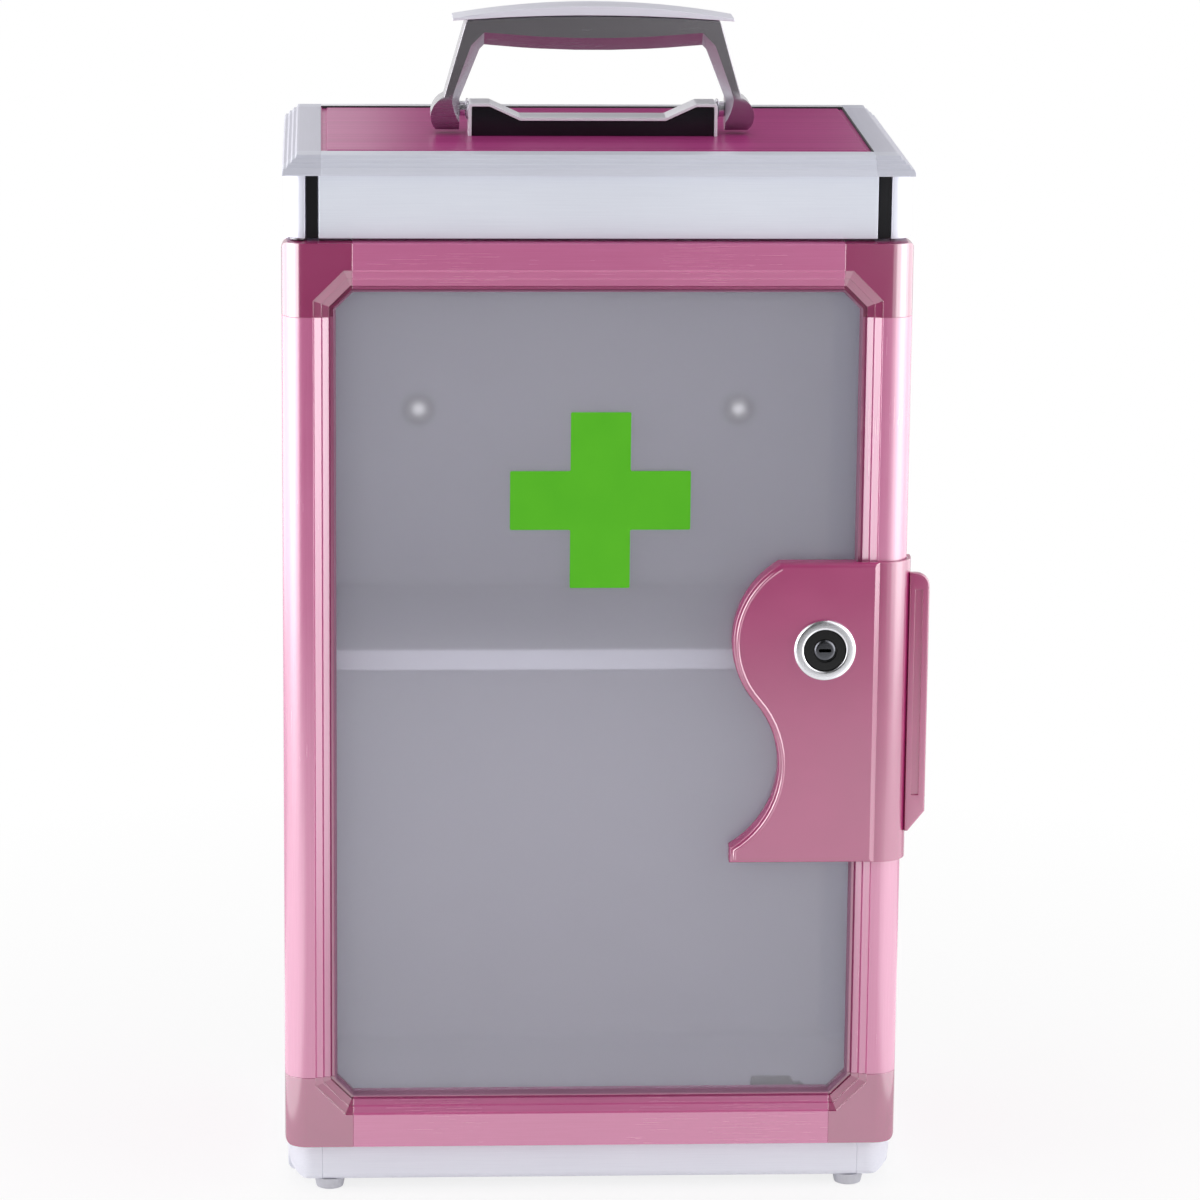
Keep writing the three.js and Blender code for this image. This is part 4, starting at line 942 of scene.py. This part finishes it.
screens = {  # one before the object that runs back over it, and one behind it
    "left": -0.55, "right": 0.24, "front": -0.85, "low": 0.001, "high": 1.4, "back": 0.3,
    "rear": 1.3, "rearLeft": -0.06, "rearRight": 0.25, "rearLow": 0.25, "rearHigh": 1.3,
    "shade": 0.04,
}


def makeFlag():  # dark screens that are seen only in polished faces
    s = screens
    front = [(x, s["front"], z) for x, z in rectangle(s["left"], s["right"], s["low"], s["high"])]
    over = [(s["right"], s["back"], s["high"]), (s["left"], s["back"], s["high"])]
    plan = rectangle(s["rearLeft"], s["rearRight"], s["rearLow"], s["rearHigh"])
    behind = [(x, s["rear"], z) for x, z in plan]
    mesh = bpy.data.meshes.new("flag")
    mesh.from_pydata(front + over + behind, [], [(0, 1, 2, 3), (3, 2, 4, 5), (6, 7, 8, 9)])
    shade = s["shade"]
    finish = Finish("flagDark", {"Base Color": (shade, shade, shade, 1), "Roughness": 1.0})
    flag = linked("flag", mesh, finish)
    for word in ("camera", "diffuse", "shadow", "transmission", "volume_scatter"):
        setattr(flag, "visible_" + word, False)


makeFlag()


def makeWorld():  # plain white where it is seen, and a weaker fill for what it lights
    world = bpy.data.worlds.new("studioWorld")
    bpy.context.scene.world = world
    world.use_nodes = True
    board = Board(world.node_tree)
    board.tree.nodes.clear()
    fill, seen = (board.node("ShaderNodeBackground", {}, {"Color": (1, 1, 1, 1), "Strength": strength})
                  for strength in (studio["worldFill"], 1.0))
    surface = board.node("ShaderNodeMixShader", {}, [rayMask(board), fill, seen])
    board.node("ShaderNodeOutputWorld", {}, {"Surface": surface})


makeWorld()

lamps = {  # place and target, size of the soft box, power in watts
    "left": {"place": (-0.85, -0.3, 0.26), "aim": (0, 0, 0.2), "size": (0.7, 0.8), "watts": 3.0},
    "right": {"place": (0.85, -0.3, 0.26), "aim": (0, 0, 0.2), "size": (0.7, 0.8), "watts": 2.7},
    "top": {"place": (0, -0.1, 1.7), "aim": (0, 0, 0.3), "size": (1.2, 1.0), "watts": 3},
}
sheens = {  # white reflectors that only glossy faces show
    "leftFront": {"place": (-0.75, -0.5, 0.4), "aim": (0, 0, 0.3), "size": (0.9, 1.0), "watts": 6.6},
    "leftSide": {"place": (-0.8, 0.35, 0.4), "aim": (0, 0, 0.3), "size": (0.9, 1.0), "watts": 6.6},
    "rightFront": {"place": (0.75, -0.5, 0.4), "aim": (0, 0, 0.3), "size": (0.9, 1.0), "watts": 5.2},
    "rightSide": {"place": (0.8, 0.35, 0.4), "aim": (0, 0, 0.3), "size": (0.9, 1.0), "watts": 4.4},
    "leftLow": {"place": (-0.44, -0.2, 0.012), "aim": (-0.44, -0.2, 1), "size": (0.56, 0.7), "watts": 1.0},
    "rightLow": {"place": (0.44, -0.2, 0.012), "aim": (0.44, -0.2, 1), "size": (0.54, 0.7), "watts": 1.0},
}


def makeLamp(word, values, lightsAll):
    lamp = bpy.data.lights.new(word, "AREA")
    lamp.shape = "RECTANGLE"
    lamp.size, lamp.size_y = values["size"]
    lamp.energy = values["watts"]
    holder = bpy.data.objects.new(word, lamp)
    holder.visible_camera = False
    holder.visible_diffuse = lightsAll
    holder.visible_transmission = lightsAll
    bpy.context.scene.collection.objects.link(holder)
    holder.location = values["place"]
    way = Vector(values["aim"]) - Vector(values["place"])
    holder.rotation_mode = "QUATERNION"
    holder.rotation_quaternion = way.to_track_quat("-Z", "Y")


for lampName, lampValues in lamps.items():
    makeLamp("lamp_" + lampName, lampValues, True)
for lampName, lampValues in sheens.items():
    makeLamp("sheen_" + lampName, lampValues, False)

lens = {
    "place": (-0.09957, -1.84943, 0.64095), "yaw": 0.0543, "pitch": 0.2317, "roll": 0.0096,
    "focalPixels": 5219.76, "pictureWidth": 1200, "sensor": 36.0, "clipStart": 0.05, "clipEnd": 60.0,
}


def makeCamera():
    data = bpy.data.cameras.new("photoCamera")
    data.sensor_width = lens["sensor"]
    data.lens = lens["focalPixels"] * lens["sensor"] / lens["pictureWidth"]
    data.clip_start, data.clip_end = lens["clipStart"], lens["clipEnd"]
    camera = bpy.data.objects.new("photoCamera", data)
    bpy.context.scene.collection.objects.link(camera)
    yaw, pitch, roll = lens["yaw"], lens["pitch"], lens["roll"]
    ahead = Vector((math.sin(yaw) * math.cos(pitch), math.cos(yaw) * math.cos(pitch), -math.sin(pitch)))
    level = Vector((math.cos(yaw), -math.sin(yaw), 0.0))
    over = level.cross(ahead)
    right = level * math.cos(roll) + over * math.sin(roll)
    up = over * math.cos(roll) - level * math.sin(roll)
    turn = Matrix((right, up, -ahead)).transposed()
    camera.matrix_world = Matrix.Translation(Vector(lens["place"])) @ turn.to_4x4()
    bpy.context.scene.camera = camera


makeCamera()
bpy.context.scene.view_settings.view_transform = "Standard"
print("studio made")
